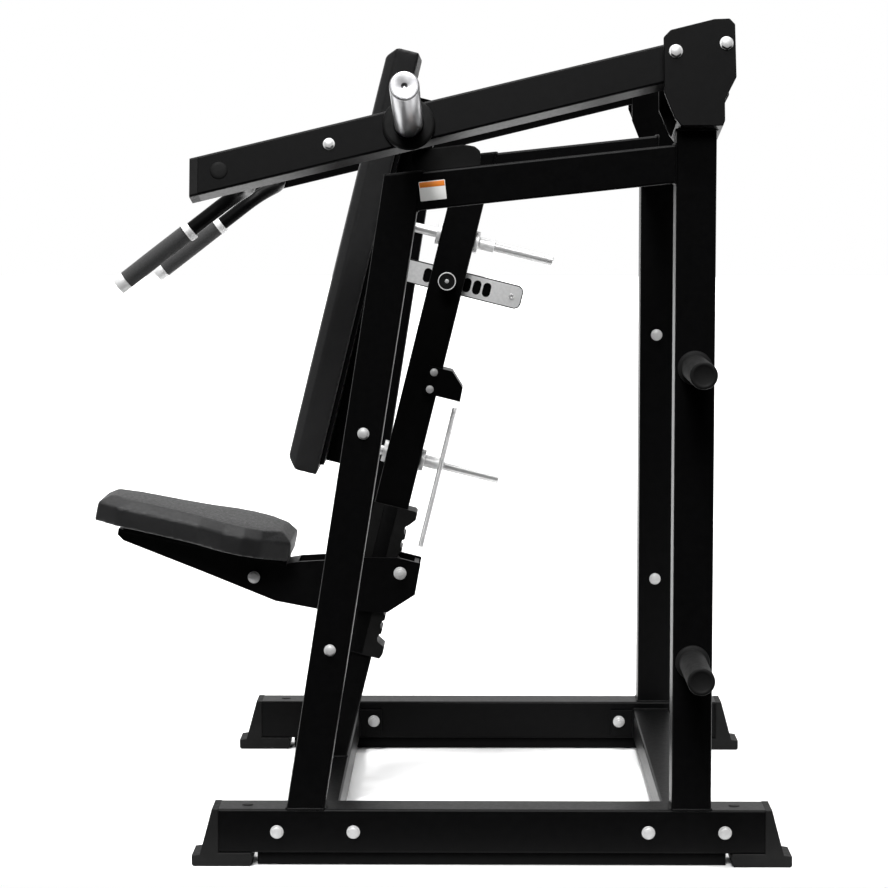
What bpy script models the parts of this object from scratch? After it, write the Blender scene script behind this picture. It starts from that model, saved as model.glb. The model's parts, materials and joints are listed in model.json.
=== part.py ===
"""Plate-loaded shoulder press: welded frame, two pivoting lever arms, sliding back pad, height-set seat.

Metres, +Z up. +Y is the rear of the machine, the user faces -Y, and +X is the side with the selector.
The origin is under the middle of the whole machine, on the floor.
"""
import math

import bmesh
import bpy
from mathutils import Matrix, Vector

# ---------------------------------------------------------------- driving dimensions
GAP = 0.0003                    # clearance between touching pieces
DATUM_Y = 0.03253               # places the middle of the footprint on the origin

TUBE = 0.067                    # square section of front uprights, beams, column and lever arms
REAR_TUBE = 0.0705              # square section of the rear uprights
WALL = 0.004
EDGE = 0.0035                   # corner radius of the square tubes
HALF = TUBE / 2
REAR_HALF = REAR_TUBE / 2

RAIL_W, RAIL_Z0, RAIL_Z1 = 0.0765, 0.0245, 0.1035
RAIL_OUT = 0.565                # outer face of the side frames
RAIL_X = RAIL_OUT - RAIL_W / 2
RAIL_Y0, RAIL_Y1 = -0.405, 0.5705
CROSS_TOP = 0.0895
FRONT_CROSS_Y, REAR_CROSS_Y = -0.2325, 0.4306
CROSS_FLANGE = 0.170

UPRIGHT_X = RAIL_OUT - HALF
REAR_UPRIGHT_Y = 0.4385
FRONT_LEAN = math.radians(8.90)
FRONT_UPRIGHT_FOOT = Vector((0, -0.2498, RAIL_Z1))
BEAM_SLOPE = math.radians(6.1)
SIDE_BEAM_TOP = Vector((0, 0.0606, 1.2469))      # a point on the top face of the side beams
CENTRE_BEAM_TOP = Vector((0, 0.0616, 1.2700))    # a point on the top face of the centre beam
REAR_TOP_Z0, REAR_TOP_Z1 = 1.216, 1.283

COLUMN_LEAN = math.radians(13.9)
COLUMN_REF = Vector((0, -0.0020, 1.0269))        # selector height on the column's centre line

ARM_ROLL = math.radians(10.5)                    # pivot axes rise outwards, so the grips converge
ARM_PITCH = math.radians(13.7)
PIVOT = Vector((0.495, 0.442, 1.433))
ARM_FRONT_Y = -0.4475
ARM_TAIL = 0.045
ARM_CAP = 0.015
SHAFT_R = 0.010
BRACKET_IN, BRACKET_OUT = 0.068, 0.078           # bracket plates, measured along the pivot axis
BRACKET_FOOT = 0.134
BEARING_BOLTS = 0.0445
HORN_AT = 0.521                                  # weight horn, distance in front of the pivot
HORN_R, HORN_LEN = 0.025, 0.315
STORE_R, STORE_LEN = 0.0239, 0.200
STORE_Z = (0.893, 0.370)

GRIP_TOP = Vector((0.32, -0.4645, 1.1347))
GRIP_TIP = Vector((0.32, -0.6051, 1.0263))
GRIP_R, GRIP_TUBE_R = 0.0168, 0.0135
GRIP_CAP = 0.020

ROD_R, SLEEVE_R = 0.0095, 0.0140
COLLAR_R, COLLAR_T = 0.0215, 0.008               # collars on both faces of the column
TAIL_R, SLEEVE_REAR = 0.0123, 0.0738
ROD_Z = (0.0850, -0.3540)                          # guide rods, along the column from COLUMN_REF
ROD_REAR = 0.192
PAD_FRONT, PAD_BACK = -0.214, -0.153
PAD_Z0, PAD_Z1 = -0.4165, 0.408
PAD_HALF_W = 0.145
PAD_SIDE_CHAMFER, PAD_END_CHAMFER = 0.018, 0.020
PAD_FRAME_Y0, PAD_FRAME_Y1 = -0.1455, -0.089
PAD_FRAME_Z0, PAD_FRAME_Z1 = -0.396, 0.330
PLATE_T, PLATE_H, PLATE_REAR = 0.008, 0.0462, 0.150
SLOT_PITCH, SLOTS_AHEAD, SLOTS_BEHIND = 0.0198, 2, 4

RACK_Z0, RACK_Z1 = -0.751, -0.452
RACK_FRONT = -0.034
NOTCH_PITCH, NOTCH_TOP, NOTCHES = 0.0274, -0.492, 9
LATCH_Y, LATCH_Z, LATCH_R = 0.0480, -0.5752, 0.006
PIN_HOLE_R = 0.0064
CHEEK = 0.0395                                   # half width over rack and hanger cheeks
SEAT_PLATE_IN, SEAT_PLATE_OUT = 0.0440, 0.0510
SEAT_TILT = math.radians(2.2)                    # the seat is a little flatter than square to the column
SEAT_TOP = Vector((0, -0.333, -0.5519))          # middle of the seat's top face
SEAT_THICK = 0.053
SEAT_CHAMFER_H, SEAT_CHAMFER_W = 0.0165, 0.022
SEAT_END = 0.150                # nose and tail chamfers begin this far from the middle
DECK_T = 0.013
SPRING_X, SPRING_Y, SPRING_R = 0.026, 0.0745, 0.0055   # beside the guide rods
SPRING_Z0, SPRING_Z1 = -0.531, -0.2245

SIDES = {"L": -1, "R": 1}

# ---------------------------------------------------------------- scene and materials
for old in list(bpy.data.objects):
    bpy.data.objects.remove(old, do_unlink=True)

PARTS = bpy.data.collections.new("shoulder_press_machine")
CUTTERS = bpy.data.collections.new("cutters")
for group in (PARTS, CUTTERS):
    bpy.context.scene.collection.children.link(group)


def principled(name, colour, roughness, metallic=0.0):
    mat = bpy.data.materials.new(name)
    mat.use_nodes = True
    shader = mat.node_tree.nodes["Principled BSDF"]
    shader.inputs["Base Color"].default_value = (*colour, 1.0)
    shader.inputs["Roughness"].default_value = roughness
    shader.inputs["Metallic"].default_value = metallic
    return mat


BLACK = principled("black_powder_coat", (0.012, 0.012, 0.013), 0.45)
RUBBER = principled("grey_rubber", (0.035, 0.035, 0.037), 0.7)
PLASTIC = principled("black_plastic", (0.02, 0.02, 0.021), 0.5)
STEEL = principled("brushed_steel", (0.55, 0.55, 0.56), 0.3, 1.0)
CHROME = principled("chrome", (0.75, 0.75, 0.77), 0.12, 1.0)
ALUMINIUM = principled("aluminium", (0.7, 0.7, 0.71), 0.35, 1.0)
VINYL = principled("dark_grey_vinyl", (0.03, 0.031, 0.033), 0.6)
GRIP = principled("grip_rubber", (0.03, 0.03, 0.031), 0.8)


# ---------------------------------------------------------------- empties that carry the motion
def empty(name, matrix, parent=None):
    node = bpy.data.objects.new(name, None)
    PARTS.objects.link(node)
    node.parent = parent
    node.matrix_local = matrix
    return node


DATUM = empty("datum", Matrix.Translation((0, DATUM_Y, 0)))
COLUMN_M = Matrix.Translation(COLUMN_REF) @ Matrix.Rotation(-COLUMN_LEAN, 4, "X")
COLUMN_AXIS = empty("column_axis", COLUMN_M, DATUM)
BACK_SLIDE = empty("back_pad_slide", Matrix(), COLUMN_AXIS)
SEAT_SLIDE = empty("seat_slide", Matrix(), COLUMN_AXIS)
KNOB_AXIS = empty("selector_axis", Matrix(), COLUMN_AXIS)


def pivot_matrix(side):
    place = Matrix.Translation((side * PIVOT.x, PIVOT.y, PIVOT.z))
    return place @ Matrix.Rotation(-side * ARM_ROLL, 4, "Y")


PIVOTS = {tag: empty(f"arm_pivot_{tag}", pivot_matrix(s), DATUM) for tag, s in SIDES.items()}


# ---------------------------------------------------------------- shape helpers
def add(name, bm, mat, parent, matrix=None, cutter=False):
    """Put a bmesh into the scene as one object, facing out."""
    bmesh.ops.recalc_face_normals(bm, faces=bm.faces)
    mesh = bpy.data.meshes.new(name)
    bm.to_mesh(mesh)
    bm.free()
    obj = bpy.data.objects.new(name, mesh)
    (CUTTERS if cutter else PARTS).objects.link(obj)
    obj.parent = parent
    obj.matrix_local = matrix or Matrix()
    if cutter:
        obj.hide_render = True
        obj.display_type = "WIRE"
    else:
        mesh.materials.append(mat)
    return obj


def boolean(obj, other, operation="DIFFERENCE"):
    mod = obj.modifiers.new(f"{operation.lower()}_{other.name}", "BOOLEAN")
    mod.operation = operation
    mod.object = other
    mod.solver = "EXACT"
    return mod


def block(lo, hi):
    """A box between two corners."""
    bm = bmesh.new()
    bmesh.ops.create_cube(bm, size=1.0)
    lo, hi = Vector(lo), Vector(hi)
    bmesh.ops.scale(bm, vec=hi - lo, verts=bm.verts)
    bmesh.ops.translate(bm, vec=(lo + hi) / 2, verts=bm.verts)
    return bm


def round_edges(bm, edges, radius, segments=2):
    bmesh.ops.bevel(bm, geom=list(edges), offset=radius, segments=segments, profile=0.5, affect="EDGES")


def edges_along(bm, axis):
    """Edges that run along one local axis, 0, 1 or 2."""
    picked = []
    for edge in bm.edges:
        run = edge.verts[1].co - edge.verts[0].co
        if abs(run[axis]) > 0.999 * run.length:
            picked.append(edge)
    return picked


def trim(bm, point, normal):
    """Cut off what lies on the normal's side of a plane, and close the cut."""
    geom = list(bm.verts) + list(bm.edges) + list(bm.faces)
    cut = bmesh.ops.bisect_plane(bm, geom=geom, plane_co=point, plane_no=normal, clear_outer=True)
    rim = [g for g in cut["geom_cut"] if isinstance(g, bmesh.types.BMEdge)]
    bmesh.ops.contextual_create(bm, geom=rim)


def prism(outline, x0, x1):
    """An outline in the YZ plane, pushed along X."""
    bm = bmesh.new()
    verts = [bm.verts.new((x0, y, z)) for y, z in outline]
    face = bm.faces.new(verts)
    pushed = bmesh.ops.extrude_face_region(bm, geom=[face])
    moved = [g for g in pushed["geom"] if isinstance(g, bmesh.types.BMVert)]
    bmesh.ops.translate(bm, vec=(x1 - x0, 0, 0), verts=moved)
    return bm


def rod_x(radius, x0, x1, sides=24, end_radius=None):
    """A round bar along X."""
    bm = bmesh.new()
    r1, r2 = radius, radius if end_radius is None else end_radius
    bmesh.ops.create_cone(bm, cap_ends=True, segments=sides, radius1=r1, radius2=r2, depth=x1 - x0)
    bmesh.ops.rotate(bm, verts=bm.verts, matrix=Matrix.Rotation(math.pi / 2, 3, "Y"))
    bmesh.ops.translate(bm, vec=((x0 + x1) / 2, 0, 0), verts=bm.verts)
    return bm


def smooth(obj, angle=35):
    obj.data.shade_smooth()
    obj.data.set_sharp_from_angle(angle=math.radians(angle))
    return obj


def turned(name, profile, mat, parent, matrix, steps=28):
    """A turned shape about local Z, from (radius, height) points listed top to bottom."""
    mesh = bpy.data.meshes.new(name)
    points = [(r, 0, z) for r, z in profile]
    mesh.from_pydata(points, [(i, i + 1) for i in range(len(points) - 1)], [])
    obj = bpy.data.objects.new(name, mesh)
    PARTS.objects.link(obj)
    obj.parent = parent
    obj.matrix_local = matrix
    mesh.materials.append(mat)
    screw = obj.modifiers.new("turn", "SCREW")
    screw.axis = "Z"
    screw.steps = screw.render_steps = steps
    screw.use_merge_vertices = True
    screw.merge_threshold = 0.00005
    return obj


def mirrored_x(side):
    """Turns local Z to point outwards along X on the given side."""
    return Matrix.Rotation(side * math.pi / 2, 4, "Y")


def hollow(obj, cutter_bm, parent, matrix=None):
    core = add(f"{obj.name}_core", cutter_bm, None, parent, matrix, cutter=True)
    boolean(obj, core)


def leaning_tube(name, side_x, matrix, length_down, length_up, lower, upper, half=HALF):
    """A square tube along the local Z of a matrix, trimmed at its ends by planes in datum space."""
    bm = block((-half, -half, -length_down), (half, half, length_up))
    round_edges(bm, edges_along(bm, 2), EDGE)
    place = Matrix.Translation((side_x, 0, 0)) @ matrix
    to_local = place.inverted()
    for point, normal in (lower, upper):
        trim(bm, to_local @ Vector(point), (to_local.to_3x3() @ Vector(normal)).normalized())
    obj = add(name, bm, BLACK, DATUM, place)
    reach = half - WALL
    hollow(obj, block((-reach, -reach, -length_down - 0.05), (reach, reach, length_up + 0.05)), DATUM, place)


# ---------------------------------------------------------------- base
def foot_outline(end_y, outward):
    """Sole plate with a sloping cap over the rail's end, in the YZ plane."""
    def at(dy, z):
        return end_y + outward * dy, z
    sole = RAIL_Z0 - GAP
    return [at(-0.0590, 0.006), at(-0.0550, 0.0), at(0.0450, 0.0), at(0.0485, 0.0035), at(0.0485, 0.0195),
            at(0.0340, 0.0215), at(0.0120, RAIL_Z1), at(GAP, RAIL_Z1), at(GAP, sole),
            at(-0.0575, sole), at(-0.0605, 0.018)]


def make_base():
    for tag, side in SIDES.items():
        x = side * RAIL_X
        bm = block((x - RAIL_W / 2, RAIL_Y0, RAIL_Z0), (x + RAIL_W / 2, RAIL_Y1, RAIL_Z1))
        round_edges(bm, edges_along(bm, 1), EDGE)
        rail = add(f"base_rail_{tag}", bm, BLACK, DATUM)
        inner = RAIL_W / 2 - WALL
        hollow(rail, block((x - inner, RAIL_Y0 - 0.01, RAIL_Z0 + WALL),
                           (x + inner, RAIL_Y1 + 0.01, RAIL_Z1 - WALL)), DATUM)
        for where, end_y, outward in (("front", RAIL_Y0, -1), ("rear", RAIL_Y1, 1)):
            bm = prism(foot_outline(end_y, outward), x - RAIL_W / 2 - 0.002, x + RAIL_W / 2 + 0.002)
            round_edges(bm, [e for e in bm.edges if abs(e.verts[0].co.x - e.verts[1].co.x) < 1e-6], 0.0012, 1)
            add(f"{where}_foot_{tag}", bm, RUBBER, DATUM)

    for name, y in (("front_crossmember", FRONT_CROSS_Y), ("rear_crossmember", REAR_CROSS_Y)):
        half_x = RAIL_OUT - RAIL_W - GAP
        bm = block((-half_x, y - RAIL_W / 2, RAIL_Z0 + 0.004), (half_x, y + RAIL_W / 2, CROSS_TOP))
        round_edges(bm, edges_along(bm, 0), EDGE)
        beam = add(name, bm, BLACK, DATUM)
        for side in SIDES.values():
            x0, x1 = sorted((side * (half_x - 0.008), side * half_x))
            flange = add(f"{name}_flange_{side:+d}",
                         block((x0, y - CROSS_FLANGE / 2, RAIL_Z0 + 0.008),
                               (x1, y + CROSS_FLANGE / 2, CROSS_TOP - 0.003)),
                         None, DATUM, cutter=True)
            boolean(beam, flange, "UNION")
        reach = RAIL_W / 2 - WALL
        hollow(beam, block((-half_x - 0.01, y - reach, RAIL_Z0 + 0.004 + WALL),
                           (half_x + 0.01, y + reach, CROSS_TOP - WALL)), DATUM)


# ---------------------------------------------------------------- uprights and beams
def beam_top_z(y, datum_point):
    return datum_point.z + (y - datum_point.y) * math.tan(BEAM_SLOPE)


def make_uprights():
    lean = Matrix.Rotation(-FRONT_LEAN, 4, "X")
    beam_up = Vector((0, -math.sin(BEAM_SLOPE), math.cos(BEAM_SLOPE)))
    for tag, side in SIDES.items():
        x = side * UPRIGHT_X
        floor = ((0, 0, RAIL_Z1 + GAP), (0, 0, -1))
        leaning_tube(f"front_upright_{tag}", x, Matrix.Translation(FRONT_UPRIGHT_FOOT) @ lean, 0.1, 1.25,
                     floor, (SIDE_BEAM_TOP, beam_up))
        axis = pivot_matrix(side)
        seat_point = axis @ Vector((0, 0, -BRACKET_FOOT - GAP))
        seat_normal = axis.to_3x3() @ Vector((0, 0, 1))
        leaning_tube(f"rear_upright_{tag}", side * (RAIL_OUT - REAR_HALF),
                     Matrix.Translation((0, REAR_UPRIGHT_Y, 0.7)),
                     0.75, 0.75, floor, (seat_point, seat_normal), half=REAR_HALF)

        along = Matrix.Rotation(BEAM_SLOPE - math.pi / 2, 4, "X")
        middle = Matrix.Translation(SIDE_BEAM_TOP - beam_up * HALF)
        front_face = FRONT_UPRIGHT_FOOT + Vector((0, HALF / math.cos(FRONT_LEAN) + GAP, 0))
        front_cut = (front_face, (0, -math.cos(FRONT_LEAN), math.sin(FRONT_LEAN)))
        rear_cut = ((0, REAR_UPRIGHT_Y - REAR_HALF - GAP, 0), (0, 1, 0))
        leaning_tube(f"top_beam_{tag}", x, middle @ along, 0.4, 0.5, front_cut, rear_cut)

    leaning_tube("center_column", 0, COLUMN_M, 1.2, 0.4, ((0, 0, CROSS_TOP + GAP), (0, 0, -1)),
                 (CENTRE_BEAM_TOP, beam_up))
    rear_face = COLUMN_M @ Vector((0, HALF + GAP, 0))
    column_cut = (rear_face, (0, -math.cos(COLUMN_LEAN), math.sin(COLUMN_LEAN)))
    middle = Matrix.Translation(CENTRE_BEAM_TOP - beam_up * HALF)
    leaning_tube("center_top_beam", 0, middle @ Matrix.Rotation(BEAM_SLOPE - math.pi / 2, 4, "X"), 0.4, 0.6,
                 column_cut, ((0, REAR_UPRIGHT_Y - HALF - GAP, 0), (0, 1, 0)))

    half_x = RAIL_OUT - REAR_TUBE - GAP
    y0, y1 = REAR_UPRIGHT_Y - HALF, REAR_UPRIGHT_Y + HALF
    bm = block((-half_x, y0, REAR_TOP_Z0), (half_x, y1, REAR_TOP_Z1))
    round_edges(bm, edges_along(bm, 0), EDGE)
    top = add("rear_top_crossmember", bm, BLACK, DATUM)
    hollow(top, block((-half_x - 0.01, y0 + WALL, REAR_TOP_Z0 + WALL),
                      (half_x + 0.01, y1 - WALL, REAR_TOP_Z1 - WALL)), DATUM)


def pierce_column():
    """Holes for the rod sleeves, the slotted plate and the selector pin, cut as one tool."""
    tool = bmesh.new()
    for z in ROD_Z:
        place = Matrix.Translation((0, 0, z)) @ Matrix.Rotation(math.pi / 2, 4, "X")
        bmesh.ops.create_cone(tool, cap_ends=True, segments=24, radius1=SLEEVE_R + GAP, radius2=SLEEVE_R + GAP,
                              depth=0.2, matrix=place)
    slot = Matrix.Diagonal((PLATE_T + 0.0012, 0.2, PLATE_H + 0.0016, 1))
    bmesh.ops.create_cube(tool, size=1.0, matrix=slot)
    pin = Matrix.Translation((0.035, 0, 0)) @ Matrix.Rotation(math.pi / 2, 4, "Y")
    bmesh.ops.create_cone(tool, cap_ends=True, segments=20, radius1=PIN_HOLE_R, radius2=PIN_HOLE_R, depth=0.03,
                          matrix=pin)
    boolean(bpy.data.objects["center_column"], add("column_holes", tool, None, COLUMN_AXIS, cutter=True))


# ---------------------------------------------------------------- arm pivots
BRACKET_OUTLINE = ((-0.0625, 0.0224), (-0.0503, 0.0350), (0.0257, 0.0542), (0.0522, 0.0552), (0.0617, 0.0450),
                   (0.0634, -0.0482), (0.0429, -0.0885), (0.0432, -0.1244), (0.0397, -BRACKET_FOOT),
                   (-0.0330, -BRACKET_FOOT), (-0.0437, -0.1206), (-0.0618, -0.0759))


def bearing_outline():
    """A two-bolt flange: a lozenge with round ends and a round middle."""
    points = []
    for centre, radius, start in ((BEARING_BOLTS, 0.013, -60), (0, 0.030, 60), (-BEARING_BOLTS, 0.013, 120),
                                  (0, 0.030, 240)):
        for step in range(5):
            angle = math.radians(start + step * (30 if centre else 15))
            points.append((centre + radius * math.cos(angle), radius * math.sin(angle)))
    return points


def make_pivots():
    for tag, side in SIDES.items():
        pivot = PIVOTS[tag]
        bm = prism(BRACKET_OUTLINE, -BRACKET_OUT, BRACKET_OUT)
        bracket = add(f"pivot_bracket_{tag}", bm, BLACK, pivot)
        opening = block((-BRACKET_IN, -0.1, -BRACKET_FOOT + 0.010), (BRACKET_IN, 0.1, 0.1))
        hollow(bracket, opening, pivot)
        bracket.modifiers.new("edge", "BEVEL").width = 0.001
        bracket.modifiers["edge"].segments = 1
        for place, sign in (("outer", side), ("inner", -side)):
            x0, x1 = sorted((sign * (BRACKET_IN - GAP), sign * (BRACKET_IN - 0.013)))
            bearing = add(f"{place}_bearing_{tag}", prism(bearing_outline(), x0, x1), STEEL, pivot)
            b0, b1 = sorted((sign * (BRACKET_IN - 0.005), sign * (HALF + 0.003)))
            boss = add(f"{place}_boss_{tag}", rod_x(0.024, b0, b1, 28), None, pivot, cutter=True)
            boolean(bearing, boss, "UNION")
            bore = add(f"{place}_bore_{tag}", rod_x(SHAFT_R + GAP, -0.1, 0.1, 20), None, pivot, cutter=True)
            boolean(bearing, bore)


# ---------------------------------------------------------------- lever arms
def arm_matrix():
    """Local Z of the arm tube runs from the pivot to the grips."""
    return Matrix.Rotation(math.pi / 2 + ARM_PITCH, 4, "X")


def make_arms():
    for tag, side in SIDES.items():
        pivot = PIVOTS[tag]
        front = ARM_FRONT_Y + ARM_CAP - PIVOT.y
        bm = block((-HALF, -HALF, -ARM_TAIL), (HALF, HALF, 1.1))
        round_edges(bm, edges_along(bm, 2), EDGE)
        along = arm_matrix()
        to_local = along.inverted()
        trim(bm, to_local @ Vector((0, front, 0)), to_local.to_3x3() @ Vector((0, -1, 0)))
        arm = add(f"lever_arm_{tag}", bm, BLACK, pivot, along)
        reach = HALF - WALL
        hollow(arm, block((-reach, -reach, -ARM_TAIL - 0.02), (reach, reach, 1.2)), pivot, along)
        hole = add(f"shaft_hole_{tag}", rod_x(SHAFT_R + GAP, -0.1, 0.1, 20), None, pivot, cutter=True)
        boolean(arm, hole)
        smooth(add(f"pivot_shaft_{tag}", rod_x(SHAFT_R, -0.066, 0.066, 20), STEEL, pivot))

        cap = block((-HALF, -HALF, 0.7), (HALF, HALF, 1.1))
        round_edges(cap, edges_along(cap, 2), EDGE)
        trim(cap, to_local @ Vector((0, front - GAP, 0)), to_local.to_3x3() @ Vector((0, 1, 0)))
        trim(cap, to_local @ Vector((0, front - ARM_CAP, 0)), to_local.to_3x3() @ Vector((0, -1, 0)))
        add(f"arm_end_cap_{tag}", cap, PLASTIC, pivot, along)

        out = mirrored_x(side)
        horn_at = Matrix.Translation((0, -HORN_AT * math.cos(ARM_PITCH), -HORN_AT * math.sin(ARM_PITCH)))
        face = HALF + GAP
        disc_t = 0.012
        turned(f"horn_flange_{tag}", ((HORN_R + GAP, face + disc_t), (0.043, face + disc_t),
                                      (0.046, face + disc_t - 0.003),
                                      (0.046, face), (HORN_R + GAP, face), (HORN_R + GAP, face + disc_t)),
               RUBBER, pivot, horn_at @ out)
        tip = face + HORN_LEN
        turned(f"weight_horn_{tag}", ((0, tip - 0.0015), (0.004, tip - 0.0015), (0.0055, tip),
                                      (HORN_R - 0.002, tip),
                                      (HORN_R, tip - 0.002), (HORN_R, face), (0, face)), STEEL, pivot, horn_at @ out)


def make_handles():
    for tag, side in SIDES.items():
        pivot = PIVOTS[tag]
        to_pivot = pivot_matrix(side).inverted()

        def local(point):
            return to_pivot @ Vector((side * point.x, point.y, point.z))
        grip_dir = (GRIP_TIP - GRIP_TOP).normalized()
        top = local(GRIP_TOP + grip_dir * 0.004)
        straight = local(GRIP_TOP - grip_dir * 0.055)
        corner = local(GRIP_TOP - grip_dir * 0.115)
        # the tube leaves the arm's inner face square to it, then bends down along the grip
        root_y = -0.80
        root_z = root_y * math.tan(ARM_PITCH) - 0.004
        root = Vector((-side * (HALF + GAP), root_y, root_z))
        turn = Vector((-side * 0.135, root_y, root_z))
        curve = bpy.data.curves.new(f"handle_path_{tag}", "CURVE")
        curve.dimensions = "3D"
        curve.resolution_u = 7
        curve.bevel_depth = GRIP_TUBE_R
        curve.bevel_resolution = 3
        curve.use_fill_caps = True
        spline = curve.splines.new("BEZIER")
        spline.bezier_points.add(3)
        knots = ((root, root - (turn - root) / 3, root + (turn - root) / 3),
                 (turn, turn - (turn - root) / 3, turn + (turn - root) / 2.2),
                 (straight, straight + (corner - straight) * 1.0, straight - (corner - straight) * 0.4),
                 (top, top + (straight - top) / 3, top - (straight - top) / 3))
        for point, (co, left, right) in zip(spline.bezier_points, knots):
            point.co, point.handle_left, point.handle_right = co, left, right
        tube = bpy.data.objects.new(f"handle_tube_{tag}", curve)
        PARTS.objects.link(tube)
        tube.parent = pivot
        curve.materials.append(BLACK)

        along = local(GRIP_TIP) - local(GRIP_TOP)
        frame = Matrix.Translation(local(GRIP_TOP)) @ along.to_track_quat("-Z", "Y").to_matrix().to_4x4()
        length = along.length
        start, end = 0.0047, length - GRIP_CAP - GAP
        turned(f"handle_grip_{tag}", ((0, -start), (GRIP_R + 0.0015, -start), (GRIP_R + 0.0015, -start - 0.012),
                                      (GRIP_R, -start - 0.013), (GRIP_R, -end), (0, -end)), GRIP, pivot, frame, 24)
        turned(f"grip_end_cap_{tag}", ((0, -end - GAP), (GRIP_R, -end - GAP), (GRIP_R, -length + 0.002),
                                       (GRIP_R - 0.002, -length), (0, -length)), ALUMINIUM, pivot, frame, 24)


def arm_bottom_z(y, x_out):
    """Height of the lever arm's underside at rest, at a distance out from the centre plane."""
    normal = pivot_matrix(1).to_3x3() @ Vector((0, math.sin(ARM_PITCH), -math.cos(ARM_PITCH)))
    face = PIVOT + normal * HALF
    return face.z - (normal.x * (x_out - face.x) + normal.y * (y - face.y)) / normal.z


def make_bumpers_and_storage():
    for tag, side in SIDES.items():
        x0, x1 = UPRIGHT_X - 0.030, UPRIGHT_X + 0.009
        front, rear = -0.059, 0.0615
        lift = 0.0005
        outline = [(front, beam_top_z(front, SIDE_BEAM_TOP) + GAP), (rear, beam_top_z(rear, SIDE_BEAM_TOP) + GAP),
                   (rear, 1.266), (rear - 0.010, 1.2745), (0.030, 1.2775), (front + 0.012, 1.2685), (front, 1.2620)]
        bm = prism(outline, side * x0, side * x1)
        for vert in bm.verts:
            if vert.co.z > 1.26:
                ceiling = arm_bottom_z(vert.co.y, x0) - lift
                vert.co.z = min(vert.co.z, ceiling) + (abs(vert.co.x) - x0) * math.tan(ARM_ROLL) * 0.9
        round_edges(bm, [e for e in bm.edges if e.calc_face_angle(0) > 0.3 and e.verts[0].co.z > 1.255
                         and e.verts[1].co.z > 1.255], 0.0025, 2)
        add(f"arm_bumper_{tag}", bm, RUBBER, DATUM)

        for level, z in zip(("upper", "lower"), STORE_Z):
            face = RAIL_OUT + GAP
            tip = face + STORE_LEN
            base = Matrix.Translation((0, REAR_UPRIGHT_Y, z)) @ mirrored_x(side)
            turned(f"{level}_storage_horn_{tag}", ((0, tip), (STORE_R - 0.003, tip), (STORE_R, tip - 0.003),
                                                   (STORE_R, face + 0.007), (0.0285, face + 0.006), (0.0305, face + 0.004),
                                                   (0.0305, face), (0, face)), RUBBER, DATUM, base)


# ---------------------------------------------------------------- column fittings
def make_column_fittings():
    for name, z in zip(("upper", "lower"), ROD_Z):
        place = Matrix.Translation((0, 0, z)) @ Matrix.Rotation(-math.pi / 2, 4, "X")
        bore, near, far = ROD_R + GAP, HALF + GAP, HALF + GAP + COLLAR_T
        turned(f"{name}_rod_sleeve", ((bore, SLEEVE_REAR), (TAIL_R, SLEEVE_REAR), (TAIL_R, far), (COLLAR_R, far),
                                      (COLLAR_R, near), (SLEEVE_R, near), (SLEEVE_R, -near), (COLLAR_R, -near),
                                      (COLLAR_R, -far), (bore, -far), (bore, SLEEVE_REAR)),
               CHROME, COLUMN_AXIS, place, 24)

    column_box = block((-HALF - GAP, -0.2, -1.2), (HALF + GAP, HALF + GAP, 0.4))

    valley, tip, stop = 0.0355, 0.0410, 0.0530
    outline = [(RACK_FRONT, RACK_Z1), (stop - 0.004, RACK_Z1), (stop, RACK_Z1 - 0.004), (stop, RACK_Z1 - 0.016)]
    for index in range(NOTCHES):
        centre = NOTCH_TOP - index * NOTCH_PITCH
        for step in range(5):
            angle = math.pi * step / 4
            outline.append((tip - (tip - valley) * math.sin(angle), centre + 0.0095 * math.cos(angle)))
    outline += [(stop, RACK_Z0 + 0.024), (stop, RACK_Z0 + 0.010), (stop - 0.004, RACK_Z0), (RACK_FRONT, RACK_Z0)]
    rack = add("seat_rack", prism(outline, -CHEEK, CHEEK), PLASTIC, COLUMN_AXIS)
    boolean(rack, add("column_space_rack", column_box.copy(), None, COLUMN_AXIS, cutter=True))

    outline = [(0.006, -0.1680), (0.0525, -0.1680), (0.0797, -0.1945), (0.0813, -0.2225), (0.006, -0.2225)]
    hanger = add("spring_hanger", prism(outline, -CHEEK, CHEEK), BLACK, COLUMN_AXIS)
    boolean(hanger, add("column_space_hanger", column_box, None, COLUMN_AXIS, cutter=True))

    housing = rod_x(0.0125, HALF + GAP, 0.0460, 20)
    housing = smooth(add("selector_housing", housing, PLASTIC, COLUMN_AXIS))
    boolean(housing, add("housing_bore", rod_x(PIN_HOLE_R, 0.02, 0.06), None, COLUMN_AXIS, cutter=True))


def make_selector():
    """Pull knob and its pin, one moving piece along X."""
    out = mirrored_x(1)
    turned("selector_knob", ((0, 0.0655), (0.0120, 0.0655), (0.0160, 0.0640), (0.0175, 0.0610), (0.0175, 0.0520),
                             (0.0150, 0.0464), (0.0060, 0.0464), (0.0060, 0.0065), (0.0045, 0.0048), (0, 0.0048)),
           PLASTIC, KNOB_AXIS, out, 24)


# ---------------------------------------------------------------- back pad
def pad_prism(front, back, z0, z1, half_w, chamfer, end_chamfer):
    """A cushion with a flat back, and chamfered edges round its front face."""
    bm = block((-half_w, front, z0), (half_w, back, z1))
    for vert in bm.verts:
        if vert.co.y < (front + back) / 2:
            vert.co.x -= math.copysign(chamfer, vert.co.x)
            vert.co.z -= math.copysign(end_chamfer, vert.co.z - (z0 + z1) / 2)
    geom = list(bm.verts) + list(bm.edges) + list(bm.faces)
    bmesh.ops.bisect_plane(bm, geom=geom, plane_co=(0, front + chamfer, 0), plane_no=(0, 1, 0))
    for vert in bm.verts:
        if abs(vert.co.y - front - chamfer) < 1e-5:
            vert.co.x = math.copysign(half_w, vert.co.x)
            vert.co.z = z1 if vert.co.z > (z0 + z1) / 2 else z0
    return bm


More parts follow.
